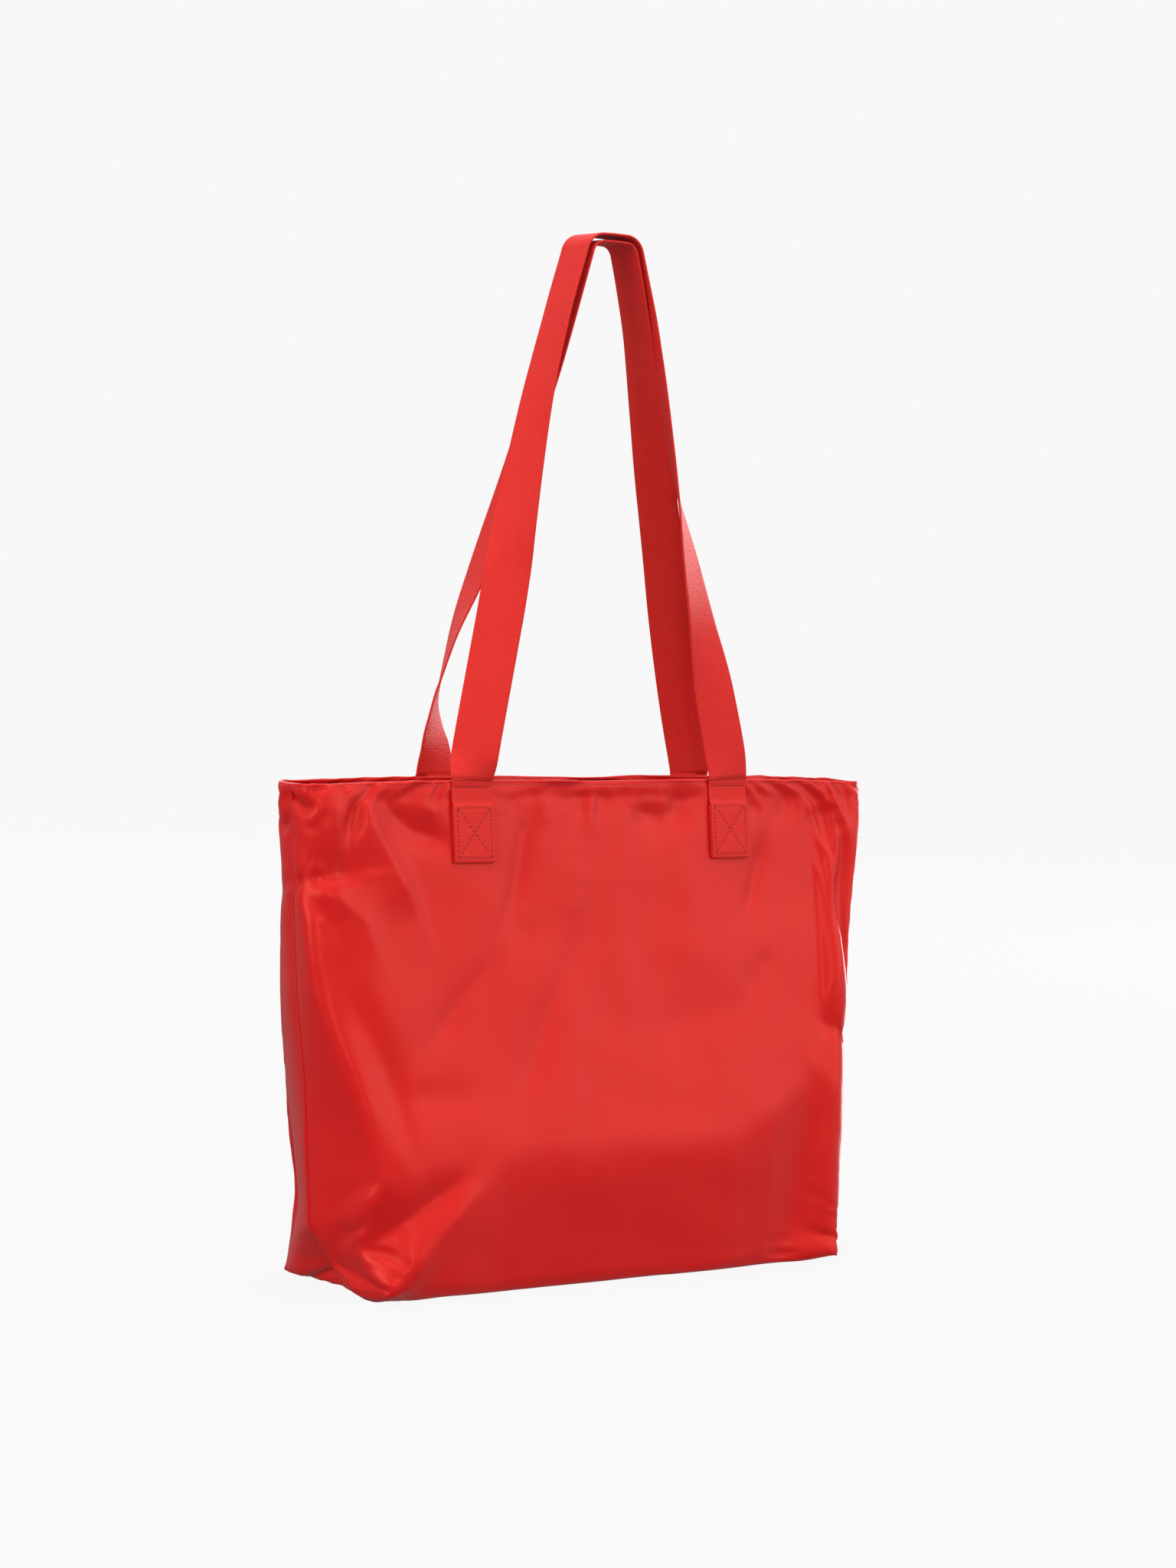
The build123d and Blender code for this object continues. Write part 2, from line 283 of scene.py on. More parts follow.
def held_zone(pattern):
    """Vertices under the sewn handle ends and the zipped pocket's top, and the flat wall they are held to."""
    along, down = pattern.pattern_place()
    column = np.arange(pattern.around)
    facing = np.zeros(pattern.count)
    facing[pattern.ring] = np.where(column <= pattern.half, -1.0, 1.0)[None, :]
    x = along - CLOTH_WIDTH / 2
    strap = (np.abs(np.abs(x) - STRAP_SPREAD) <= STRAP_WIDTH / 2 + 1) & (down <= SEWN_LENGTH)
    half_width, top, foot = POCKET_HOLD
    zipped = (facing > 0) & (np.abs(x) <= half_width) & (down > top) & (down < foot)
    held = np.flatnonzero((strap | zipped) & (facing != 0) & (down > 0))
    run, outward, height = belly_line()
    y = np.interp(down[held], run, outward)
    z = np.interp(down[held], run, height)
    return held, np.stack([x[held], facing[held] * y, z], axis=1)


class Cloth:
    """The bag's cloth, relaxed to its pattern's lengths with its mouth, handle ends and base held."""

    def __init__(self, pattern, places, bend):
        self.pattern = pattern
        self.places = places
        self.springs = pattern.springs(stretch=1.0, shear=0.35, bend=bend)
        front, back = pattern.quads()
        self.quads = np.concatenate([front, back])
        self.along, self.down = pattern.pattern_place()
        column = np.arange(pattern.around)
        self.front_side = np.ones(pattern.count, bool)
        self.front_side[pattern.ring[:, column > pattern.half]] = False
        self.front_side[pattern.under[pattern.n + 1:, 1:-1]] = False
        self.mouth = mouth_edge(pattern)
        self.held, self.held_targets = held_zone(pattern)

    def near(self, side, s, t, radius):
        """The vertex at a pattern point, and how much each vertex near it goes with it."""
        on_side = self.front_side if side < 0 else ~self.front_side
        gap = np.hypot(self.along - s, self.down - t)
        seam_gap = np.hypot(np.minimum(self.along, CLOTH_WIDTH - self.along)
                            + min(s, CLOTH_WIDTH - s), self.down - t)
        same_end = (self.along < CLOTH_WIDTH / 2) == (s < CLOTH_WIDTH / 2)
        reach = np.where(on_side, gap, np.where(same_end, seam_gap, 1e9))
        return int(np.argmin(np.where(on_side, gap, 1e9))), np.exp(-(reach / radius) ** 2)

    def relax(self, rounds, grabs=(), target=None, pull=0.0, push=0.0, weight=0.0, grip=1.0):
        """Runs rounds of: outward push and weight, grabs, pull to a target, lengths, floor, holds."""
        x = self.places
        rim = self.pattern.ring[0]
        grips = [(self.near(*grab[:4]), np.array(grab[4], float), grab[5]) for grab in grabs]
        lines = self.line_holds()
        for _ in range(rounds):
            if push or weight:
                x += vertex_normals(x, self.quads) * push
                x[:, 2] -= weight
            for (vertex, reach), goal, strength in grips:
                x += (grip * strength * reach)[:, None] * (goal - x[vertex])
            for ids, goals, strength in lines:
                x[ids] += grip * strength[:, None] * (goals - x[ids])
            if target is not None:
                x += pull * (target - x)
            for a, b, rest, k in self.springs:
                d = x[b] - x[a]
                length = np.sqrt(np.einsum("ij,ij->i", d, d))
                d *= (0.5 * k * (length - rest) / np.maximum(length, 1e-9))[:, None]
                x[a] += d
                x[b] -= d
            x[:, 2] = np.maximum(x[:, 2], LOWEST)
            x[self.held] += 0.5 * (self.held_targets - x[self.held])
            x[rim] = self.mouth
        self.places = x

    def line_holds(self):
        """Vertices along the known lines, where each belongs, and how strongly it goes there."""
        holds = []
        reach = 0.75 * self.pattern.step
        for side, flip, line, strength in end_lines():
            down, along = (np.array([point[i] for point in line], float) for i in (0, 1))
            places = np.array([point[2] for point in line], float)
            lengths = np.concatenate([[0], np.cumsum(np.hypot(np.diff(down), np.diff(along)))])
            at = np.arange(0, lengths[-1], self.pattern.step * 0.25)
            t = np.interp(at, lengths, down)
            s = np.interp(at, lengths, along)
            s = CLOTH_WIDTH - s if flip else s
            on_side = self.front_side if side < 0 else ~self.front_side
            seam = (self.along < 1e-6) | (self.along > CLOTH_WIDTH - 1e-6)
            boxed = (self.along > s.min() - reach) & (self.along < s.max() + reach)
            boxed &= (self.down > t.min() - reach) & (self.down < t.max() + reach)
            pool = np.flatnonzero((on_side | seam) & boxed)
            gap = np.hypot(self.along[pool][:, None] - s[None], self.down[pool][:, None] - t[None])
            closest = np.argmin(gap, axis=1)
            gap = gap[np.arange(len(pool)), closest]
            near = gap < reach
            goals = np.stack([np.interp(at[closest[near]], lengths, places[:, i]) for i in range(3)], axis=1)
            holds.append((pool[near], goals, strength * (1 - gap[near] / reach)))
        return holds

    def finer(self, steps, bend):
        fine = Pattern(steps)
        return Cloth(fine, self.pattern.refine(self.places, fine), bend)

    def strain(self):
        """Mean and worst stretch of the threads, for the printed report."""
        worst, total, count = 0.0, 0.0, 0
        for a, b, rest, k in self.springs:
            if k < 1.0:
                continue
            s = np.linalg.norm(self.places[b] - self.places[a], axis=1) / rest - 1
            worst = max(worst, float(np.abs(s).max(initial=0)))
            total += float(np.abs(s).sum())
            count += len(s)
        return total / count, worst


# ---------------------------------------------------------------- shaping the cloth
# Lines the ends are known by, each point as (run down the cloth, distance along it from the side seam, place
# in the room). The left boxed corner folds under itself: its seam is drawn in and up, under an overhang.
LEFT_SEAM = [(4, 0, (-234.2, 0, 337)), (24, 0, (-231.5, 0, 317.3)), (60, 0, (-231.5, -1, 281.5)),
             (84, 0, (-229.5, 0, 258)), (136, 0, (-224, 0, 206)), (182, 0, (-219, 0, 160)),
             (230, 0, (-214.5, 0, 112)), (274, 0, (-211, 0, 68)), (299, 0, (-209.5, 0, 42)),
             (340, 0, (-177, -1, 15))]
LEFT_RIDGE = [(86, 22, (-229.7, -22.5, 255)), (115, 28, (-227.3, -28, 226)), (155, 35, (-219.2, -35, 186)),
              (191, 43, (-211.5, -43, 151)), (211, 51, (-203.4, -50, 131)), (242, 59, (-195.3, -57, 101)),
              (264, 66, (-190.5, -61, 79))]
LEFT_CORNER = [(264, 66, (-190.5, -61, 79)), (311, 44, (-196, -41, 33)), (337, 69, (-185.5, -66.5, 9.5))]
LEFT_OVERHANG = [(299, 0, (-209.5, 0, 42)), (325, 22, (-191.5, -15, 18.5)), (338, 69, (-185.5, -66, 8.5))]
# The floor edge of the base at the left end, from its front corner to its back one
LEFT_FOOT = [(353, 72, (-191, -53, 0.8)), (380, 77, (-187, -26, 0.8)), (407, 79, (-183, -1, 0.8))]
LEFT_BACK_FOOT = [(407, 79, (-183, 1, 0.8)), (375, 75, (-185, 33, 0.8)), (346, 71, (-187.5, 62, 0.8))]
LEFT_BACK_RIDGE = [(20, 23, (-229, 21, 321)), (120, 37, (-215, 36, 222)), (160, 43, (-208, 42, 182)),
                   (230, 53, (-195, 52, 113)), (290, 61, (-181, 58, 52)), (340, 67.5, (-187.5, 67.3, 1.5))]
RIGHT_SEAM = [(4, 0, (231.2, 0, 337)), (60, 0, (228.5, 0, 281.5)), (140, 0, (216.5, 0, 202)),
              (240, 0, (205, 0, 102.5)), (298, 0, (200, 0, 45)), (340, 0, (180, 0, 9))]
RIGHT_RIDGE = [(6, 20, (229, -19.5, 335)), (30, 23, (228, -23, 310)), (66, 28, (220, -28, 274)),
               (102, 33, (212, -33, 238)), (176, 46, (202, -46, 165)), (215, 54, (198, -53, 126)),
               (262, 60, (193, -59, 80)), (338, 67, (187.5, -67, 6))]
RIGHT_BACK_RIDGE = [(20, 23, (229, 21, 321)), (120, 37, (216.5, 36, 222)), (230, 53, (201, 52, 113)),
                    (340, 67.5, (187.5, 67.3, 1.5))]


def end_lines():
    """(side, flip, line, strength) for every known line; flip counts from the right side seam."""
    return [(-1, False, LEFT_SEAM, 0.35), (-1, False, LEFT_RIDGE, 0.12), (-1, False, LEFT_CORNER, 0.16),
            (-1, False, LEFT_OVERHANG, 0.2), (-1, False, LEFT_FOOT, 0.3), (1, False, LEFT_BACK_FOOT, 0.2),
            (1, False, LEFT_BACK_RIDGE, 0.12), (-1, True, RIGHT_SEAM, 0.2), (-1, True, RIGHT_RIDGE, 0.08),
            (1, True, RIGHT_BACK_RIDGE, 0.06)]


def end_corners():
    """Where the base's corners belong: (side, along, down, radius, place, strength)."""
    wide = CLOTH_WIDTH
    return [
        (-1, 68.5, 338, 6, (-185.5, -66.5, 9.0), 0.35),
        (1, 67.5, 340, 9, (-187.5, 67.3, 1.5), 0.35),
        (-1, wide - 67.5, 340, 9, (187.5, -67.3, 5), 0.35),
        (1, wide - 67.5, 340, 9, (187.5, 67.3, 1.5), 0.35),
    ]


def panel_target(cloth):
    """Where the wall panels would lie if nothing creased them, and how strongly each vertex goes there."""
    drop = np.interp(cloth.along, *np.transpose(BELLY_DROP))
    y, z = np.zeros(cloth.pattern.count), np.zeros(cloth.pattern.count)
    step = 15.0
    for level in np.arange(-45, 31, step):
        share = np.clip(1 - np.abs(drop - level) / step, 0, 1)
        run, outward, height = belly_line(level)
        y += share * np.interp(cloth.down, run, outward)
        z += share * np.interp(cloth.down, run, height)
    x = cloth.along - CLOTH_WIDTH / 2
    facing = np.where(cloth.front_side, -1.0, 1.0)
    reach = BASE_WIDTH / 2 + (MOUTH_HALF - BASE_WIDTH / 2) * np.clip(1 - cloth.down / HEIGHT, 0, 1)
    inside = smooth((reach - 14 - np.abs(x)) / 60)
    return np.stack([x, facing * y, z], axis=1), inside


# Creases of the front half, on its flat pattern in mm from the left side seam and down from the mouth:
# (points, height outward or depth inward, width, how crisp: 1 is an edge and 2 a soft swell)
FRONT_FOLDS = [
    # the edge that runs down from the pinch to the boxed corner, and the facets at its foot
    ([(14, 68), (22, 96), (26, 135), (37, 161), (50, 191), (55, 211), (60, 238), (67, 264)], 3.6, 9, 1.15),
    ([(67, 264), (56, 288), (44, 311)], 4.6, (5, 12), 1.15),
    ([(44, 311), (56, 325), (67, 337)], 3.0, 5, 1.1),
    ([(48, 307), (84, 287), (126, 264)], -6.5, 12, 1.25),
    ([(72, 331), (98, 306), (130, 274)], 3.8, 12, 1.6),
    ([(2, 300), (22, 325), (66, 339)], 1.8, 4.5, 1.1),
    ([(46, 128), (58, 160), (72, 190), (79, 216), (86, 246)], -3.4, 13, 1.7),
    # rays from the pinch beside the seam
    ([(9, 65), (12, 67)], -3.5, 9, 2.0),
    ([(12, 62), (24, 56), (42, 60)], 1.8, 5, 1.2),
    ([(13, 66), (40, 74), (62, 92), (74, 124)], 1.7, 7, 1.3),
    ([(14, 71), (30, 84), (40, 104)], -1.8, 6, 1.5),
    # under the hem at the left: hollows on both sides of a long crisp ridge
    ([(13, 67), (34, 61), (58, 60)], -6.0, (24, 6), 1.5),
    ([(60, 16), (50, 34)], -2.4, 9, 1.7),
    ([(60, 9), (77, 41), (104, 88)], 5.5, (5, 22), 1.3),
    ([(78, 14), (102, 33), (131, 42)], -4.0, 9, 1.6),
    ([(112, 6), (118, 24)], 1.8, 7, 1.6),
    # drag lines between the handles and down the middle
    ([(176, 3), (172, 26)], 1.2, 8, 1.8),
    ([(197, 10), (187, 48), (180, 76), (168, 100)], -2.4, 8, 1.5),
    ([(174, 102), (194, 104)], -1.2, 12, 1.9),
    ([(232, 110), (208, 147), (197, 169), (182, 204), (174, 228)], -1.9, 12, 1.7),
    ([(164, 118), (127, 154), (104, 180)], -1.9, 12, 1.7),
    ([(88, 208), (136, 211)], -1.7, 13, 1.9),
    ([(258, 6), (251, 26)], -2.4, 5, 1.4),
    ([(240, 6), (236, 24)], -1.7, 7, 1.7),
    ([(280, 18), (304, 26), (334, 18)], -4.4, 12, 1.8),
    ([(270, 40), (262, 110), (266, 150)], 1.3, 15, 2.0),
    ([(232, 52), (226, 96)], 1.2, 12, 1.9),
    ([(318, 44), (326, 92), (312, 140)], 1.1, 14, 2.0),
    ([(394, 42), (384, 72), (375, 94)], -2.4, 6, 1.4),
    ([(386, 14), (388, 26)], -2.0, 6, 1.8),
    ([(415, 10), (411, 32)], -2.2, 6, 1.6),
    ([(452, 16), (458, 40)], -3.6, 15, 1.9),
    ([(292, 170), (366, 160)], -1.0, 15, 1.9),
    ([(372, 152), (396, 122)], -1.0, 12, 1.8),
    # the right edge buckles below its middle
    ([(461, 92), (448, 134), (433, 172)], 2.6, 9, 1.4),
    ([(432, 172), (470, 184)], -2.6, 8, 1.5),
    ([(434, 184), (440, 212), (434, 264), (437, 316)], 2.0, 8, 1.4),
    # the foot of the wall, where it turns under
    ([(296, 349), (330, 342), (374, 334)], 1.2, 5, 1.4),
]
BACK_FOLDS = [
    ([(30, 90), (40, 160), (58, 240), (67, 300)], 2.2, 10, 1.3),
    ([(60, 8), (84, 52), (92, 96)], 2.0, 8, 1.3),
    ([(78, 14), (104, 34), (126, 46)], -2.4, 10, 1.8),
    ([(110, 130), (140, 176), (150, 220)], -1.9, 11, 1.7),
    ([(64, 268), (96, 290), (124, 318)], -2.6, 13, 1.7),
    ([(292, 190), (262, 226), (244, 262)], -1.7, 12, 1.8),
    ([(330, 170), (352, 216), (350, 250)], -1.8, 12, 1.8),
    ([(380, 90), (392, 140), (386, 190)], -1.7, 9, 1.6),
    ([(418, 12), (408, 46), (414, 82)], -2.2, 9, 1.6),
    ([(446, 10), (436, 60), (448, 108)], 2.0, 8, 1.3),
    ([(470, 60), (452, 150), (446, 240)], 2.0, 9, 1.4),
    ([(440, 318), (410, 296), (384, 262)], -2.8, 13, 1.7),
    ([(150, 346), (210, 338)], 1.2, 6, 1.5),
]


def fold_height(cloth, folds, on_side):
    """How far the listed creases push each vertex out along its normal. A crease with two widths has the first
    above or to the right of its line, and the second below or to the left."""
    total = np.zeros(cloth.pattern.count)
    for line, height, width, crisp in folds:
        best = np.full(cloth.pattern.count, 1e9)
        taper = np.zeros(cloth.pattern.count)
        reach = np.ones(cloth.pattern.count)
        above, below = width if isinstance(width, tuple) else (width, width)
        line = np.array(line, float)
        lengths = np.concatenate([[0], np.cumsum(np.hypot(*np.diff(line, axis=0).T))])
        for k in range(len(line) - 1):
            (x0, y0), (dx, dy) = line[k], line[k + 1] - line[k]
            t = np.clip(((cloth.along - x0) * dx + (cloth.down - y0) * dy) / (dx * dx + dy * dy), 0, 1)
            gap = np.hypot(cloth.along - x0 - t * dx, cloth.down - y0 - t * dy)
            under = dx * (cloth.down - y0) - dy * (cloth.along - x0) > 0
            share = (lengths[k] + t * hypot(dx, dy)) / lengths[-1]
            closer = gap < best
            best = np.where(closer, gap, best)
            taper = np.where(closer, np.minimum(1, 0.35 + 2.6 * np.minimum(share, 1 - share)), taper)
            reach = np.where(closer, np.where(under, below, above), reach)
        reach = reach * (0.7 + 0.3 * taper)
        total += height * taper * np.exp(-(np.sqrt(best**2 + 1.0) / reach) ** crisp)
    still = smooth(cloth.down / 9)
    return np.where(on_side, total, 0.0) * still


def puckers(seed):
    """Short gathers that hang from the hem's stitching, between the sewn handle ends, as creases."""
    random = np.random.default_rng(seed)
    found = []
    along = 30.0
    while along < CLOTH_WIDTH - 30:
        width = random.uniform(3.5, 6.5)
        drop = random.uniform(8, 26)
        lean = random.uniform(-0.45, 0.45) * drop
        depth = random.uniform(0.5, 1.5) * random.choice([-1.0, -1.0, 1.0])
        if abs(abs(along - CLOTH_WIDTH / 2) - STRAP_SPREAD) > STRAP_WIDTH / 2 + 2:
            found.append(([(along, 10), (along + lean, 10 + drop)], depth, width, 1.5))
        along += random.uniform(7, 17)
    return found


CRUMPLE_WAVES = 14


def crumple(cloth, seed, size):
    """A low, smooth unevenness over the cloth: a few waves of random direction, from size up to 4 times that."""
    random = np.random.default_rng(seed)
    total = np.zeros(cloth.pattern.count)
    for _ in range(CRUMPLE_WAVES):
        angle = random.uniform(0, pi)
        length = size * random.uniform(1.0, 4.0)
        phase = random.uniform(0, 2 * pi)
        bend = random.uniform(20, 50)
        wobble = bend * np.sin((cloth.along * sin(angle) - cloth.down * cos(angle)) / random.uniform(60, 140))
        total += length / size * np.sin((cloth.along * cos(angle) + cloth.down * sin(angle) + wobble) * 2 * pi / length
                                        + phase)
    return total / CRUMPLE_WAVES


COARSE_STEPS = 9
FINER_STEPS = ((18, 27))


def bag_cloth():
    """The bag's cloth: relaxed coarse and then finer, creased, and relaxed a little more."""
    coarse = Pattern(COARSE_STEPS)
    cloth = Cloth(coarse, start_shape(coarse), bend=0.10)
    grabs = end_corners()
    target, strength = panel_target(cloth)
    cloth.relax(500, grabs, target, 0.03 * strength[:, None], push=0.012, weight=0.012)
    print("cloth, coarse: mean and worst strain", cloth.strain())
    for steps in FINER_STEPS:
        cloth = cloth.finer(steps, bend=0.06)
        target, strength = panel_target(cloth)
        cloth.relax(120, grabs, target, 0.015 * strength[:, None], push=0.005, weight=0.005)
        print("cloth,", steps, "mean and worst strain", cloth.strain())
    lift = fold_height(cloth, FRONT_FOLDS + puckers(21), cloth.front_side)
    lift += fold_height(cloth, BACK_FOLDS + puckers(22), ~cloth.front_side)
    lift += (0.45 * crumple(cloth, 11, 26) + 0.9 * crumple(cloth, 5, 55)) * smooth(cloth.down / 25)
    lift -= 0.7 * np.exp(-((cloth.down - HEM_DEPTH - 1) / 3.5) ** 2)
    creased = cloth.places + vertex_normals(cloth.places, cloth.quads) * lift[:, None]
    cloth.places = creased.copy()
    cloth.relax(26, grabs, creased, 0.42, grip=0.1)
    print("cloth, creased: mean and worst strain", cloth.strain())
    return cloth


# ---------------------------------------------------------------- mesh and material helpers
def new_mesh(name, points, faces, uvs=None, smooth_shaded=True):
    """An object from points in mm, and optionally one (u, v) in mm for each face corner."""
    mesh = bpy.data.meshes.new(name)
    mesh.from_pydata((np.asarray(points, float) * MM).tolist(), [], [list(map(int, f)) for f in faces])
    if uvs is not None:
        layer = mesh.uv_layers.new(name="UVMap")
        layer.data.foreach_set("uv", np.asarray(uvs, np.float32).ravel())
    mesh.polygons.foreach_set("use_smooth", [smooth_shaded] * len(mesh.polygons))
    mesh.validate()
    mesh.update()
    obj = bpy.data.objects.new(name, mesh)
    bpy.context.scene.collection.objects.link(obj)
    return obj


def thicken(obj, thick, offset):
    """Makes a sheet of faces a closed shell, grown inward by offset -1 or outward by 1."""
    shell = obj.modifiers.new("thickness", "SOLIDIFY")
    shell.thickness = thick * MM
    shell.offset = offset
    bpy.context.view_layer.update()
    graph = bpy.context.evaluated_depsgraph_get()
    mesh = bpy.data.meshes.new_from_object(obj.evaluated_get(graph))
    obj.modifiers.clear()
    obj.data = mesh


def face_outward(obj):
    """Turns every face of a closed mesh to look outward."""
    turned = bmesh.new()
    turned.from_mesh(obj.data)
    bmesh.ops.recalc_face_normals(turned, faces=turned.faces)
    turned.to_mesh(obj.data)
    turned.free()
    return obj


def finish_piece(obj, material):
    obj.data.materials.clear()
    obj.data.materials.append(material)
    return obj


def unit(v):
    return v / np.maximum(np.linalg.norm(v, axis=-1, keepdims=True), 1e-9)


def running_length(points):
    return np.concatenate([[0], np.cumsum(np.linalg.norm(np.diff(points, axis=0), axis=1))])


def round_outline(radius, count=6):
    """(angles, points) evenly spaced round a circle."""
    angles = np.linspace(0, 2 * pi, count + 1)[:-1]
    return angles, radius * np.stack([np.cos(angles), np.sin(angles)], axis=1)


def strip_faces(rings):
    """The faces of a closed strip, from its rings of vertex numbers."""
    nxt = np.roll(rings, -1, axis=1)
    sides = np.stack([rings[:-1], nxt[:-1], nxt[1:], rings[1:]], axis=-1).reshape(-1, 4)
    return sides.tolist() + [rings[0][::-1].tolist(), rings[-1].tolist()]


def tube(name, rings, along, outline, along_first=False):
    """A closed strip through rings of points, with UVs in mm round its outline and along it."""
    n, m = rings.shape[:2]
    around = running_length(np.concatenate([outline, outline[:1]]))
    u0, u1 = (np.broadcast_to(edge, (n - 1, m)) for edge in (around[:-1], around[1:]))
    v0, v1 = (np.broadcast_to(edge[:, None], (n - 1, m)) for edge in (along[:-1], along[1:]))
    uv = np.stack([u0, v0, u1, v0, u1, v1, u0, v1], axis=-1).reshape(-1, 2)
    if along_first:
        uv = uv[:, ::-1]
    uv = np.concatenate([uv, np.zeros((2 * m, 2))])
    faces = strip_faces(np.arange(n * m).reshape(n, m))
    return face_outward(new_mesh(name, rings.reshape(-1, 3), faces, uv))


def sweep(name, centres, sideways, outward, outline, shape=None):
    """A strip swept along stations. outline is in (sideways, outward), and shape(u, run) lifts its outer face."""
    outline = np.asarray(outline, float)
    run = running_length(centres)
    lift = np.zeros((len(centres), len(outline)))
    if shape is not None:
        lift = shape(outline[None, :, 0], run[:, None]) * (outline[None, :, 1] > 0)
    rings = (centres[:, None] + sideways[:, None] * outline[None, :, :1]
             + outward[:, None] * (outline[None, :, 1:] + lift[..., None]))
    return tube(name, rings, run, outline)


class Nodes:
    """Short way to build the node tree of a material or of the world."""

    def __init__(self, name, kind="materials"):
        self.owner = getattr(bpy.data, kind).new(name)
        self.owner.use_nodes = True
        self.tree = self.owner.node_tree
        self.shader = self.tree.nodes["Background" if kind == "worlds" else "Principled BSDF"]

    def put(self, socket, value):
        """Links a value that is a socket, and sets any other."""
        if isinstance(value, bpy.types.NodeSocket):
            self.tree.links.new(value, socket)
        else:
            socket.default_value = value

    def add(self, kind, inputs=None, **settings):
        node = self.tree.nodes.new("ShaderNode" + kind)
        for key, value in settings.items():
            setattr(node, key, value)
        for key, value in (inputs or {}).items():
            self.put(node.inputs[key], value)
        return node

    def set(self, **values):
        for key, value in values.items():
            self.put(self.shader.inputs[key.replace("_", " ")], value)
        return self.owner

    def place(self, kind="UV"):
        return self.add("TexCoord").outputs[kind]

    def across_and_along(self):
        return self.add("SeparateXYZ", {"Vector": self.place()}).outputs[:2]

    def math(self, operation, *values):
        node = self.add("Math", operation=operation)
        for socket, value in zip(node.inputs, values):
            self.put(socket, value)
        return node.outputs[0]

    def weigh(self, *terms, plus=0.0):
        """The sum of sockets, each times its own weight."""
        for socket, weight in terms:
            plus = self.math("MULTIPLY_ADD", socket, weight, plus)
        return plus

    def ribs(self, socket, pitch):
        return self.math("SINE", self.math("MULTIPLY", socket, 2 * pi / pitch))

    def noise(self, vector, scale, detail=2.0):
        return self.add("TexNoise", {"Vector": vector, "Scale": scale, "Detail": detail}).outputs["Fac"]

    def wave(self, vector, scale, distortion, direction, detail=2.0):
        inputs = {"Vector": vector, "Scale": scale, "Distortion": distortion, "Detail": detail}
        return self.add("TexWave", inputs, wave_type="BANDS", bands_direction=direction).outputs["Fac"]

    def bump(self, height, strength, distance):
        return self.add("Bump", {"Height": height, "Strength": strength, "Distance": distance}).outputs[0]

    def ramp(self, factor, *stops):
        node = self.add("ValToRGB", {"Fac": factor})
        for element, (place, colour) in zip(node.color_ramp.elements, stops):
            element.position = place
            element.color = (*colour, 1)
        return node.outputs["Color"]


def srgb(*channels):
    return tuple((c / 255 / 12.92) if c <= 10 else ((c / 255 + 0.055) / 1.055) ** 2.4 for c in channels)


# ---------------------------------------------------------------- materials
CLOTH_LIGHT = srgb(213, 26, 27)
CLOTH_DEEP = srgb(205, 22, 25)


def satin_nylon():
    """Tightly woven satin nylon: a fine diagonal twill, faint slubs, and a soft wide gloss."""
    m = Nodes("satin_nylon")
    uv = m.place()
    body = m.noise(uv, 0.011, 3.0)
    slubs = m.noise(m.add("Mapping", {"Vector": uv, "Scale": (0.035, 1.4, 1.0)}).outputs[0], 1.0)
    twill = m.wave(uv, 0.42, 0.4, "DIAGONAL", 1.0)
    threads = m.wave(uv, 0.9, 0.2, "X")
    colour = m.ramp(m.weigh((slubs, 0.45), (body, 0.55)), (0.30, CLOTH_DEEP), (0.72, CLOTH_LIGHT))
    weave = m.weigh((twill, 0.6), (threads, 0.25), (slubs, 0.5))
    return m.set(Base_Color=colour, Roughness=m.weigh((body, 0.08), plus=0.26), Normal=m.bump(weave, 0.25, 0.00006),
                 Specular_IOR_Level=0.8, Specular_Tint=(1.0, 0.24, 0.17, 1))


def webbing_red():
    """Grosgrain webbing: a rib across every 1.15 mm, packed yarns in each rib, and a plain selvedge."""
    m = Nodes("ribbed_webbing")
    across, along = m.across_and_along()
    rib = m.math("POWER", m.weigh((m.ribs(along, 1.15), 0.5), plus=0.5), 0.6)
    fuzz = m.noise(m.place(), 1.6, 3.0)
    broad = m.noise(m.place(), 0.03)
    height = m.weigh((m.ribs(across, 0.55), 0.12), (fuzz, 0.35), plus=rib)
    # The colour follows the ribs: each rib's top is painted lighter and the groove between ribs painted darker
    # (painted shade), over random tone from the broad and fuzz noise.
    shade = m.weigh((rib, 0.55), (broad, 0.25), (fuzz, 0.25))
    colour = m.ramp(shade, (0.15, srgb(200, 28, 28)), (0.85, srgb(232, 48, 42)))
    return m.set(Base_Color=colour, Roughness=m.weigh((fuzz, 0.15), plus=0.5), Normal=m.bump(height, 0.7, 0.00022),
                 Specular_IOR_Level=0.5, Specular_Tint=(1.0, 0.35, 0.3, 1), Sheen_Weight=0.06, Sheen_Roughness=0.4)


def thread_red():
    m = Nodes("sewing_thread")
    ply = m.wave(m.place("Object"), 900.0, 1.5, "DIAGONAL", 1.0)
    # The ply's twist is painted into the colour, darker between the plies: a painted shade.
    colour = m.ramp(ply, (0.2, srgb(128, 12, 16)), (0.8, srgb(162, 24, 26)))
    return m.set(Base_Color=colour, Roughness=0.45, Normal=m.bump(ply, 0.4, 0.00008), Specular_IOR_Level=0.4,
                 Sheen_Weight=0.15)


def binding_tape():
    """Woven binding: a fine herringbone in a deeper red."""
    m = Nodes("binding_tape")
    across, along = m.across_and_along()
    lines = m.ribs(m.math("ADD", along, m.math("PINGPONG", across, 2.0)), 0.8)
    fuzz = m.noise(m.place(), 0.8)
    # The herringbone lines also shift the colour, darker in their grooves: partly painted shade, partly random tone
    # from the fuzz noise.
    colour = m.ramp(m.weigh((lines, 0.2), plus=fuzz), (0.2, srgb(150, 16, 20)), (0.8, srgb(182, 26, 28)))
    return m.set(Base_Color=colour, Roughness=0.6, Normal=m.bump(m.weigh((fuzz, 0.5), plus=lines), 0.5, 0.00012),
                 Specular_IOR_Level=0.35)


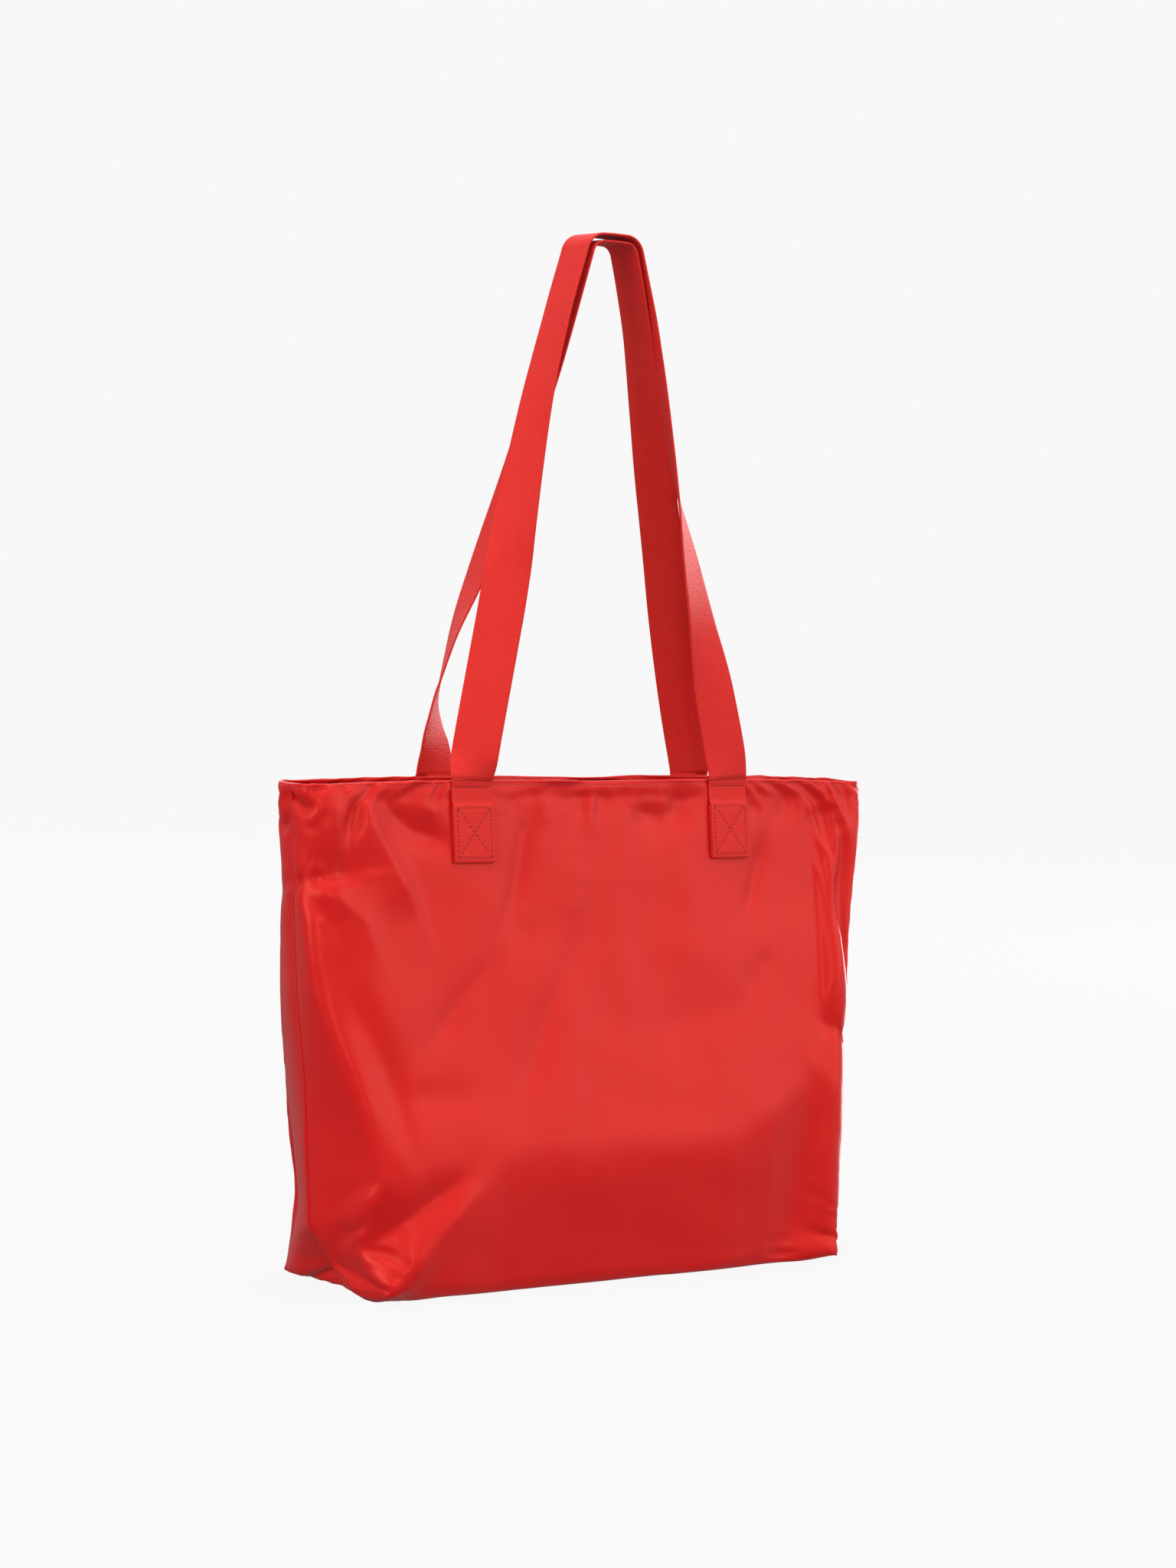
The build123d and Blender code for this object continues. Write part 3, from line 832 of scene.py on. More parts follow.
def zip_tape():
    m = Nodes("zip_tape")
    across, along = m.across_and_along()
    height = m.weigh((m.ribs(across, 0.7), 0.5), plus=m.ribs(along, 1.0))
    colour = m.ramp(m.noise(m.place(), 0.5), (0.3, srgb(172, 20, 24)), (0.7, srgb(198, 32, 32)))
    return m.set(Base_Color=colour, Roughness=0.6, Normal=m.bump(height, 0.5, 0.00012), Specular_IOR_Level=0.35)


def zip_nylon():
    m = Nodes("zip_teeth")
    grain = m.noise(m.place("Object"), 900.0)
    colour = m.ramp(grain, (0.3, srgb(160, 16, 20)), (0.7, srgb(186, 24, 26)))
    return m.set(Base_Color=colour, Roughness=m.weigh((grain, 0.15), plus=0.28), Specular_IOR_Level=0.5)


def zip_metal():
    """Die-cast slider: pale nickel, a little brushed, darker where it has rubbed."""
    m = Nodes("zip_metal")
    place = m.place("Object")
    scratch = m.noise(m.add("Mapping", {"Vector": place, "Scale": (200.0, 2500.0, 2500.0)}).outputs[0], 1.0, 3.0)
    wear = m.noise(place, 260.0, 3.0)
    colour = m.ramp(wear, (0.35, srgb(150, 150, 152)), (0.7, srgb(206, 206, 204)))
    return m.set(Base_Color=colour, Roughness=m.weigh((scratch, 0.25), plus=0.2), Metallic=1.0,
                 Normal=m.bump(scratch, 0.2, 0.00005))


def label_satin():
    m = Nodes("care_label")
    place = m.place("Object")
    weave = m.wave(place, 700.0, 0.6, "Z")
    colour = m.ramp(m.noise(place, 120.0, 3.0), (0.3, srgb(228, 226, 220)), (0.7, srgb(244, 243, 240)))
    return m.set(Base_Color=colour, Roughness=0.45, Normal=m.bump(weave, 0.3, 0.00005), Specular_IOR_Level=0.4)


# ---------------------------------------------------------------- camera, floor and light
FLOOR_RADIUS = 19500
FLOOR_SIDES = 64


def set_camera():
    """The photograph's view: from the front left, a little above the mouth, tipped slightly down."""
    data = bpy.data.cameras.new("camera")
    data.sensor_fit = "VERTICAL"
    data.sensor_height = 36.0
    data.lens = 85.1
    camera = bpy.data.objects.new("camera", data)
    bpy.context.scene.collection.objects.link(camera)
    yaw, pitch, roll = radians(34.95), radians(3.35), radians(2.05)
    turn = Matrix.Rotation(-yaw, 4, "Z") @ Matrix.Rotation(pi / 2 - pitch, 4, "X") @ Matrix.Rotation(roll, 4, "Z")
    camera.matrix_world = Matrix.Translation((-1.462, -2.097, 0.4865)) @ turn
    bpy.context.scene.camera = camera


def softbox(name, place, aim, size, power):
    data = bpy.data.lights.new(name, "AREA")
    data.shape = "RECTANGLE"
    data.size, data.size_y = size
    data.energy = power
    light = bpy.data.objects.new(name, data)
    light.location = place
    light.rotation_euler = (Vector(place) - Vector(aim)).to_track_quat("Z", "Y").to_euler()
    bpy.context.scene.collection.objects.link(light)


def stage_and_light():
    sky = Nodes("studio", "worlds")
    way = sky.add("SeparateXYZ", {"Vector": sky.place("Generated")}).outputs
    rise = sky.add("MapRange", {"From Min": -0.5, "From Max": 0.6, "To Min": 0.32, "To Max": 1.05, "Value": way["Z"]})
    behind = sky.add("MapRange", {"From Min": 0.1, "From Max": 0.95, "To Min": 1.0, "To Max": 0.4, "Value": way["Y"]},
                     interpolation_type="SMOOTHSTEP")
    bpy.context.scene.world = sky.set(Color=(1, 1, 1, 1),
                                      Strength=sky.math("MULTIPLY", rise.outputs[0], behind.outputs[0]))

    rim = round_outline(FLOOR_RADIUS, FLOOR_SIDES)[1]
    floor = new_mesh("studio_floor", np.c_[rim, 0 * rim[:, 0]], [list(range(FLOOR_SIDES))])
    paper = Nodes("pale_floor")
    floor.data.materials.append(paper.set(Base_Color=(0.03, 0.03, 0.03, 1), Roughness=0.9, Specular_IOR_Level=0.0,
                                          Emission_Color=(1, 1, 1, 1), Emission_Strength=0.91))

    dome_mesh = bmesh.new()
    bmesh.ops.create_uvsphere(dome_mesh, u_segments=48, v_segments=24, radius=20.0)
    mesh = bpy.data.meshes.new("studio_backdrop")
    dome_mesh.to_mesh(mesh)
    dome_mesh.free()
    dome = bpy.data.objects.new("studio_backdrop", mesh)
    bpy.context.scene.collection.objects.link(dome)
    glow = Nodes("pale_backdrop")
    mesh.materials.append(glow.set(Base_Color=(0, 0, 0, 1), Specular_IOR_Level=0.0, Emission_Color=(1, 1, 1, 1),
                                   Emission_Strength=0.938))
    for kind in ("diffuse", "glossy", "transmission", "volume_scatter", "shadow"):
        setattr(dome, "visible_" + kind, False)
    for kind in ("diffuse", "glossy", "shadow"):
        setattr(floor, "visible_" + kind, False)

    middle = (0, 0, 0.25)
    softbox("key", (2.0, -2.7, 1.35), (0, -0.05, 0.2), (2.6, 2.2), 21)
    softbox("glint", (-1.25, -2.7, 1.05), (-0.1, -0.05, 0.2), (0.5, 1.3), 7)
    softbox("right_edge", (3.1, 1.15, 0.7), middle, (0.7, 2.2), 42)
    softbox("left_fill", (-3.5, -0.3, 1.3), middle, (2.0, 2.4), 40)
    softbox("back", (1.4, 3.0, 1.5), middle, (2.0, 2.0), 18)
    softbox("top", (0.0, -0.2, 2.8), middle, (3.0, 2.0), 26)
    bpy.context.scene.view_settings.view_transform = "Standard"


set_camera()
stage_and_light()

cloth_red = satin_nylon()
cloth = bag_cloth()
pattern = cloth.pattern
NORMALS = vertex_normals(cloth.places, cloth.quads)


def cloth_half(name, quads):
    """One half of the bag's cloth as a closed thin shell, with its pattern as its UVs."""
    ids, corners = np.unique(quads, return_inverse=True)
    uv = np.stack([cloth.along[quads], cloth.down[quads]], axis=-1)
    obj = new_mesh(name, cloth.places[ids], corners.reshape(quads.shape), uv.reshape(-1, 2))
    obj.data.materials.append(cloth_red)
    thicken(obj, CLOTH_THICK, -1)
    return obj


def sew_on(obj):
    """Bakes the piece's transform into its mesh."""
    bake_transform(obj)


# ---------------------------------------------------------------- webbing
WEB_THICK = 1.55


def webbing_section(width, thick, across=16):
    """Closed outline of flat webbing with round edges, as (sideways, outward) points."""
    half, r = width / 2, thick / 2
    flat = np.linspace(-half + r, half - r, across + 1)
    turn = np.linspace(pi / 2, -pi / 2, 6)[1:-1]
    right = np.stack([half - r + r * np.cos(turn), r * np.sin(turn)], axis=1)
    top = np.stack([flat, np.full_like(flat, r)], axis=1)
    bottom = np.stack([flat[::-1], np.full_like(flat, -r)], axis=1)
    return np.concatenate([top, right, bottom, -right])


# A free handle loop, as the frame has it: legs lean in to a round top, and the webbing turns from facing
# outward at the mouth to lying flat over the top
LOOP_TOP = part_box("front_handle")[1].z / MM
LOOP_FLAT = 9.4
FRONT_LOOP_RADIUS = 14.0
BACK_LOOP_RADIUS = 9.0
HALF_WEBBING = 0.9
LEG_LEAN = radians(13.4)
ROOT_HEIGHT = MOUTH_HEIGHT
ROOT_OFFSET = MOUTH_HALF_DEPTH + 2.5
# Share of a leg over which it bends from upright at its root into its lean
ROOT_BEND = 0.022

# How each leg hangs: the webbing's turn from facing outward (90) to lying flat over the top (0), by share of the
# leg, and by share how far the leg bows away from the middle across the bag, and away from the other handle
LEG_TWIST = {
    "front_left": [(0, 90), (0.02, 76), (0.05, 60), (0.15, 56), (0.39, 50), (0.46, 36), (0.55, 23), (0.69, 10),
                   (0.8, 3), (0.9, 0), (1, 0)],
    "front_right": [(0, 90), (0.06, 98), (0.16, 94), (0.3, 69), (0.43, 52), (0.53, 36), (0.66, 20), (0.8, 6),
                    (0.9, 0), (1, 0)],
    "back_left": [(0, 88), (0.05, 70), (0.15, 36), (0.25, 25), (0.37, 10), (0.5, 4), (0.8, 0), (1, 0)],
    "back_right": [(0, 88), (0.1, 70), (0.3, 44), (0.43, 30), (0.57, 24), (0.7, 12), (0.85, 2), (1, 0)],
}
LEG_BOW = {
    "front_left": [(0, 0, 0), (0.3, 0.5, 0), (0.5, 3.5, 0), (0.72, 5.5, 0), (0.88, 3.5, 0), (1, 0, 0)],
    "front_right": [(0, 0, 0), (1, 0, 0)],
    "back_left": [(0, 0, 0), (0.04, 2, 2), (0.09, 7, 5), (0.16, 11, 9), (0.26, 11.5, 9.5), (0.38, 9, 7), (0.6, 4, 3),
                  (0.8, 1, 0.5), (1, 0, 0)],
    "back_right": [(0, 0, 0), (0.3, 2, 0), (0.6, 4, 0), (0.84, 3.8, 0), (0.94, 2, 0), (1, 0, 0)],
}


def smooth_through(at, xs, ys):
    """Monotone cubic through points, so that the webbing turns without kinks."""
    xs, ys = np.asarray(xs, float), np.asarray(ys, float)
    slopes = np.diff(ys) / np.diff(xs)
    both = slopes[1:] * slopes[:-1]
    inner = np.where(both > 0, 2 * both / (slopes[1:] + slopes[:-1] - 1e-12), 0)
    m = np.concatenate([[slopes[0]], inner, [slopes[-1]]])
    k = np.clip(np.searchsorted(xs, at, side="right") - 1, 0, len(xs) - 2)
    h = xs[k + 1] - xs[k]
    t = (at - xs[k]) / h
    return (ys[k] * (2 * t**3 - 3 * t**2 + 1) + m[k] * h * (t**3 - 2 * t**2 + t)
            + ys[k + 1] * (3 * t**2 - 2 * t**3) + m[k + 1] * h * (t**3 - t**2))


def handle_leg(leg, facing, side, radius, bow):
    """One leg from the mouth to the loop's top: centres, and the webbing's outer directions."""
    arc_z = LOOP_TOP - HALF_WEBBING - FRONT_LOOP_RADIUS
    end_x = LOOP_FLAT + radius * cos(LEG_LEAN)
    end_z = arc_z + radius * sin(LEG_LEAN)
    share = np.linspace(0, 1, 90)
    settle = share - ROOT_BEND * (1 - np.exp(-share / ROOT_BEND)) * (1 - share) ** 2
    at, across, away = np.transpose(LEG_BOW[leg])
    x = STRAP_SPREAD + (end_x - STRAP_SPREAD) * settle + bow * np.sin(pi * share) + smooth_through(share, at, across)
    y = facing * (ROOT_OFFSET * (1 - share) + smooth_through(share, at, away))
    z = ROOT_HEIGHT + (end_z - ROOT_HEIGHT) * share
    twist = np.radians(smooth_through(share, *np.transpose(LEG_TWIST[leg])))
    turn = LEG_LEAN * (1 - np.exp(-share / ROOT_BEND))
    arc = np.linspace(LEG_LEAN, pi / 2, 14)[1:]
    x = np.concatenate([x, LOOP_FLAT + radius * np.cos(arc), [0.0]])
    y = np.concatenate([y, np.zeros(len(arc) + 1)])
    z = np.concatenate([z, arc_z + radius * np.sin(arc), [arc_z + radius + 0.25]])
    twist = np.concatenate([twist, np.zeros(len(arc) + 1)])[:, None]
    turn = np.concatenate([turn, arc, [pi / 2]])
    out = np.stack([side * np.cos(turn), 0 * turn, np.sin(turn)], axis=1)
    face = np.tile([0.0, facing, 0.0], (len(turn), 1))
    return np.stack([side * x, y, z], axis=1), face * np.sin(twist) + out * np.cos(twist)


def handle(name, facing, radius, bow):
    """The free loop of one handle, from sewn end to sewn end over the top."""
    wall = "front" if facing < 0 else "back"
    right, right_normals = handle_leg(wall + "_right", facing, 1, radius, bow)
    left, left_normals = handle_leg(wall + "_left", facing, -1, radius, bow)
    centres = np.concatenate([right, left[-2::-1]])
    normal = np.concatenate([right_normals, left_normals[-2::-1]])
    run = unit(np.gradient(centres, axis=0))
    sideways = unit(np.cross(run, normal))
    normal = np.cross(sideways, run)
    return sweep(name, centres, sideways, normal, webbing_section(STRAP_WIDTH, WEB_THICK))


# A sewn end, from the mouth down: (run down the wall, height over the cloth) of the webbing's mid line.
# It lies on the cloth, climbs over its own folded-under end, rolls round at the foot and comes back up.
SEWN_PATH = [(-1.0, 2.4), (1.0, 2.0), (3.0, 1.45), (5.0, 1.05), (8.0, 0.9), (12.5, 0.9), (14.5, 1.1),
             (16.2, 1.7), (17.6, 2.3), (19.2, 2.55), (22.0, 2.6), (50.0, 2.6), (53.2, 2.55), (54.4, 2.3),
             (55.0, 1.72), (54.4, 1.12), (53.2, 0.88), (50.0, 0.85), (19.5, 0.85), (18.0, 0.85)]
STITCH_WIDTH = 26.5
STITCH_HEIGHT = 34.0
STITCH_DROP = 17.0
STITCH_BOX_TOP = STITCH_DROP + 1.5
MOUTH_ROW = 4.6
# How far the threads lie over the cloth, in the box and in the row by the mouth
BOX_THREADS = 2.6 + WEB_THICK / 2 - 0.22
MOUTH_THREADS = 1.05 + WEB_THICK / 2 + 0.1


def wall_point(x, fall, height, facing):
    """Points over the flat part of a wall: across, down from the mouth edge, and out from the cloth."""
    slope = radians(PANEL_DEGREES)
    x, fall, height = np.broadcast_arrays(np.asarray(x, float), fall, height)
    y = MOUTH_HALF_DEPTH + fall * sin(slope) + height * cos(slope)
    z = MOUTH_HEIGHT - fall * cos(slope) + height * sin(slope)
    return np.stack([x, facing * y, z], axis=-1)


def stitch_lines():
    """The sewn box with its cross, in (across, down) on a sewn end, and the row by the mouth."""
    w, top, foot = STITCH_WIDTH / 2, STITCH_BOX_TOP, STITCH_BOX_TOP + STITCH_HEIGHT
    return [((-w, top), (w, top)), ((w, top), (w, foot)), ((w, foot), (-w, foot)), ((-w, foot), (-w, top)),
            ((-w, top), (w, foot)), ((w, top), (-w, foot)), ((-w - 1, MOUTH_ROW), (w + 1, MOUTH_ROW))]


def line_distance(u, v, line):
    (x0, y0), (x1, y1) = line
    dx, dy = x1 - x0, y1 - y0
    t = np.clip(((u - x0) * dx + (v - y0) * dy) / (dx * dx + dy * dy), 0, 1)
    return np.hypot(u - x0 - t * dx, v - y0 - t * dy)


def sewn_end(name, x, facing):
    """One sewn handle end, pulled down along its stitching."""
    path = np.array(SEWN_PATH, float)
    steps = np.concatenate([[0], np.cumsum(np.hypot(*np.diff(path, axis=0).T))])
    fine = np.unique(np.concatenate([np.arange(0, steps[-1], 0.9), steps]))
    fall = np.interp(fine, steps, path[:, 0])
    height = np.interp(fine, steps, path[:, 1])
    turn_over = int(np.argmax(fall))
    centres = wall_point(x, fall, height, facing)
    run = unit(np.gradient(centres, axis=0))
    sideways = np.tile(np.array([1.0, 0, 0]), (len(fine), 1)) * facing
    outward = unit(np.cross(sideways, run))
    if outward[0] @ np.array([0, facing, 0]) < 0:
        outward = -outward
    lines = stitch_lines()

    def dents(u, at):
        down = np.interp(at, fine, fall)
        on_face = at < fine[turn_over] - 1.5
        near = np.min([line_distance(u, down, line) for line in lines], axis=0)
        plump = 0.12 * np.clip(near / 6, 0, 1)
        return np.where(on_face, plump - 0.34 * np.exp(-(near / 0.75) ** 2), 0.0)

    return sweep(name, centres, sideways, outward, webbing_section(STRAP_WIDTH, WEB_THICK, 34), dents)


# ---------------------------------------------------------------- stitching
# One stitch from end to end: (share of its length, share of its thickness, height)
STITCH_STATIONS = [(0.0, 0.25, -0.32), (0.14, 0.85, -0.02), (0.5, 1.0, 0.10), (0.86, 0.85, -0.02),
                   (1.0, 0.25, -0.32)]


def stitches(name, runs, length=2.7, space=0.75, radius=0.27, seed=3):
    """Lockstitch threads: runs is a list of (points, outward directions) for each row of stitches."""
    random = np.random.default_rng(seed)
    angles = round_outline(1)[0]
    points, faces = [], []
    for path, outs in runs:
        at = running_length(path)
        count = max(1, int(round(at[-1] / (length + space))))
        pitch = at[-1] / count
        for k in range(count):
            ends = (k * pitch + space / 2, (k + 1) * pitch - space / 2)
            skew = random.uniform(-0.07, 0.07)
            start, end = (np.array([np.interp(e, at, path[:, i]) for i in range(3)]) for e in ends)
            out = unit(np.array([np.interp(sum(ends) / 2, at, outs[:, i]) for i in range(3)]))
            side = unit(np.cross(unit(end - start), out))
            rings = len(points) + np.arange(len(STITCH_STATIONS) * len(angles)).reshape(-1, len(angles))
            for share, size, lift in STITCH_STATIONS:
                middle = start + (end - start) * share + out * lift + side * skew * (share - 0.5) * 2
                points += [middle + (side * cos(a) + out * sin(a)) * radius * size for a in angles]
            faces += strip_faces(rings)
    obj = face_outward(new_mesh(name, points, faces))
    return finish_piece(obj, thread)


# ---------------------------------------------------------------- the bag put together
web_red = webbing_red()
thread = thread_red()
front_quads, back_quads = pattern.quads()
front_skin = cloth_half("front_skin", front_quads)
back_skin = cloth_half("back_skin", back_quads)
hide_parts("front_panel", "left_gusset_front", "right_gusset_front")
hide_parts("back_panel", "left_gusset_back", "right_gusset_back", "base_panel")
for skin, facing in ((front_skin, -1), (back_skin, 1)):
    sew_on(skin)

for wall, facing, radius, bow in (("front", -1, FRONT_LOOP_RADIUS, 2.3), ("back", 1, BACK_LOOP_RADIUS, -2.3)):
    loop = finish_piece(handle(wall + "_handle_webbing", facing, radius, bow), web_red)
    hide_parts(wall + "_handle")
    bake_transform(loop)
    rows = []
    for side_name, side in (("left", -1), ("right", 1)):
        end = sewn_end(wall + "_" + side_name + "_sewn_webbing", side * STRAP_SPREAD, facing)
        finish_piece(end, web_red)
        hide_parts(wall + "_" + side_name + "_handle_end")
        sew_on(end)
        for (x0, y0), (x1, y1) in stitch_lines():
            share = np.linspace(0, 1, 9)
            fall = y0 + (y1 - y0) * share
            height = MOUTH_THREADS if y0 == MOUTH_ROW else BOX_THREADS
            line = wall_point(side * STRAP_SPREAD + x0 + (x1 - x0) * share, fall, height, facing)
            outs = wall_point(0.0, fall, 1.0, facing) - wall_point(0.0, fall, 0.0, facing)
            rows.append((line, outs))
    sewing = stitches(wall + "_box_stitches", rows)
    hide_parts(wall + "_box_stitching")
    sew_on(sewing)


# ---------------------------------------------------------------- the rolled hem
# The rolled mouth edge: (inward from the cloth's face, down from the mouth)
HEM_OUTLINE = [(-0.10, 1.6), (-0.22, 0.6), (-0.05, -0.15), (0.5, -0.62), (1.2, -0.62), (1.75, -0.1), (1.85, 0.6),
               (1.8, 5.0), (1.75, 9.4), (1.5, 10.1), (1.1, 10.1), (0.85, 9.4), (0.8, 5.0), (0.75, 1.4), (0.3, 1.8)]
HEM_STITCH_DROP = 2.6


def along_mouth(columns, down):
    """The cloth's points at one distance down from the mouth."""
    low = int(np.clip(down // pattern.row_step, 0, 4))
    share = down / pattern.row_step - low
    upper, lower = (cloth.places[pattern.ring[row][columns]] for row in (low, low + 1))
    return upper * (1 - share) + lower * share


def hem_piece(name, columns):
    """The turned-in mouth edge of one half, from side seam to side seam."""
    normals = NORMALS[pattern.ring[1][columns]]
    rings = np.array([along_mouth(columns, down) - normals * inward for inward, down in HEM_OUTLINE])
    along = np.arange(len(columns)) * pattern.step
    return tube(name, rings.transpose(1, 0, 2), along, np.array(HEM_OUTLINE), along_first=True)


for wall, facing in (("front", -1), ("back", 1)):
    columns = (-facing * np.arange(pattern.half + 1)) % pattern.around
    hem = finish_piece(hem_piece(wall + "_mouth_hem", columns), cloth_red)
    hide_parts(*([wall + "_hem"] + (["left_hem", "right_hem"] if facing < 0 else [])))
    sew_on(hem)
    path = along_mouth(columns, HEM_STITCH_DROP)
    outs = NORMALS[pattern.ring[int(HEM_STITCH_DROP / pattern.row_step) + 1][columns]]
    clear = np.abs(np.abs(path[:, 0]) - STRAP_SPREAD) > STRAP_WIDTH / 2 + 1
    groups = np.split(np.arange(len(path)), np.flatnonzero(np.diff(clear.astype(int))) + 1)
    rows = [(path[g], outs[g]) for g in groups if clear[g[0]] and len(g) > 2]
    sew_on(stitches(wall + "_hem_stitches", rows, length=2.5, space=0.7, radius=0.22, seed=5))


# ---------------------------------------------------------------- seams and bound edges
def seam_frames(ids, rounds):
    """A line of the cloth's vertices, smoothed, with its sideways and outward directions."""
    points, outs = softened(cloth.places[ids], 2), softened(NORMALS[ids], rounds)
    run = unit(np.gradient(points, axis=0))
    outs = unit(outs - np.sum(outs * run, axis=1, keepdims=True) * run)
    return points, np.cross(run, outs), outs


def softened(values, times):
    """The same values smoothed along their line, with the ends kept."""
    values = values.copy()
    for _ in range(times):
        values[1:-1] = 0.25 * values[:-2] + 0.5 * values[1:-1] + 0.25 * values[2:]
    return values


# The side seam outside: a pressed welt, steep on its front edge, in (towards the front, outward)
WELT = [(-3.4, -0.35), (-3.0, 0.18), (-2.2, 0.55), (-0.9, 0.86), (0.6, 1.0), (1.7, 0.92), (2.15, 0.5), (2.2, -0.45),
        (0.0, -0.6)]
# A binding tape folded round the raw edges inside: (across, inward)
BINDING = [(-4.0, 0.15), (-3.9, 0.85), (-3.2, 1.05), (0.0, 1.15), (3.2, 1.05), (3.9, 0.85), (4.0, 0.15), (0.0, 0.1)]
# The seam's threads: across the welt and over the cloth
SEAM_THREADS = (-1.6, 0.72)


def binding(name, node, points, sideways, outward):
    tape = sweep(name, points, sideways, outward, np.array(BINDING) * [1, -1] - [0, CLOTH_THICK])
    finish_piece(tape, binding_red)
    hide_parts(node)
    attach(tape, "base")


def side_seam(name, column):
    """A side seam from under the hem to the boxed corner: the outside welt and the inside binding."""
    rows = pattern.ring[:, column]
    points, sideways, outward = seam_frames(rows, 6)
    if sideways[0, 1] > 0:
        sideways = -sideways
    last = len(rows) - max(2, int(5 / pattern.row_step))
    part = slice(1, last)
    welt = sweep(name + "_welt", points[part], sideways[part], outward[part], WELT)
    finish_piece(welt, cloth_red)
    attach(welt, "base")
    part = slice(int(np.ceil(12 / pattern.row_step)), last)
    binding(name + "_binding", name, points[part], sideways[part], outward[part])
    shift, height = SEAM_THREADS
    line = points[part] + sideways[part] * shift + outward[part] * height
    sewing = stitches(name + "_stitches", [(line, outward[part])], length=2.6, space=0.8, radius=0.2, seed=9)
    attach(sewing, "base")


binding_red = binding_tape()
side_seam("left_side_seam", 0)
side_seam("right_side_seam", pattern.half)
inset = int(14 / pattern.step)
for seam, ids in (("bottom_seam", pattern.under[pattern.n][inset:-inset]), ("left_corner", pattern.under[2:-2, 1]),
                  ("right_corner", pattern.under[2:-2, -2])):
    binding(seam + "_binding", seam.replace("corner", "corner_seam"), *seam_frames(ids, 4))


# ---------------------------------------------------------------- the zipped pocket inside the back
PATCH_STEP = 2.5


def back_patch(name, half_width, top, foot, inward, thick, sag=0.0, material=cloth_red, slot="cloth"):
    """A piece of cloth that lies along the inside of the back wall, over a rectangle of its pattern."""
    xs = np.arange(-half_width, half_width + 1e-6, PATCH_STEP)
    downs = np.linspace(top, foot, max(2, int(round((foot - top) / PATCH_STEP)) + 1))
    rows = np.clip(downs / pattern.row_step, 0, pattern.rows - 1.001)
    columns = pattern.around - (xs + CLOTH_WIDTH / 2) / pattern.step
    r0, c0 = rows.astype(int), np.floor(columns).astype(int)
    fr, fc = (rows - r0)[:, None, None], (columns - c0)[None, :, None]

    def sample(values):
        grid = [[values[pattern.ring[(r0 + i)[:, None], (c0 + j)[None, :] % pattern.around]] for j in (0, 1)]
                for i in (0, 1)]
        upper, lower = (left * (1 - fc) + right * fc for left, right in grid)
        return upper * (1 - fr) + lower * fr

    u = np.linspace(-1, 1, len(xs))[None, :]
    v = np.linspace(0, 1, len(downs))[:, None]
    lift = inward + sag * (1 - u**4) * np.sin(pi * v) ** 1.5 * (1 + 0.35 * np.sin(u * 7 + v * 2))
    verts = sample(cloth.places) - unit(sample(NORMALS)) * lift[..., None]
    index = np.arange(verts.shape[0] * verts.shape[1]).reshape(verts.shape[:2])
    quads = np.stack([index[:-1, :-1], index[:-1, 1:], index[1:, 1:], index[1:, :-1]], axis=-1).reshape(-1, 4)
    flat = np.stack(np.broadcast_arrays(xs[None, :], downs[:, None]), axis=-1).reshape(-1, 2)
    obj = new_mesh(name, verts.reshape(-1, 3), quads, flat[quads].reshape(-1, 2))
    obj.data.materials.append(material)
    thicken(obj, thick, 1)
    sew_on(obj)
    return obj


tape_red, teeth_red, nickel, label_white = zip_tape(), zip_nylon(), zip_metal(), label_satin()
for node, material in (("zip_slider", nickel), ("zip_pull", nickel), ("zip_end_stops", nickel),
                       ("care_label", label_white)):
    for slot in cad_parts[node].material_slots:
        slot.material = material

ZIP_DOWN = 42.0
# From the zip's line to the edge of the pocket's cloth, and to the edges of each tape
CLOTH_GAP, TAPE_INNER, TAPE_OUTER = 5.5, 2.0, 12
POCKET_TOP, POCKET_FOOT, POCKET_HALF = 30.0, 150.0, 90.0
TAPE_HALF = 88.0
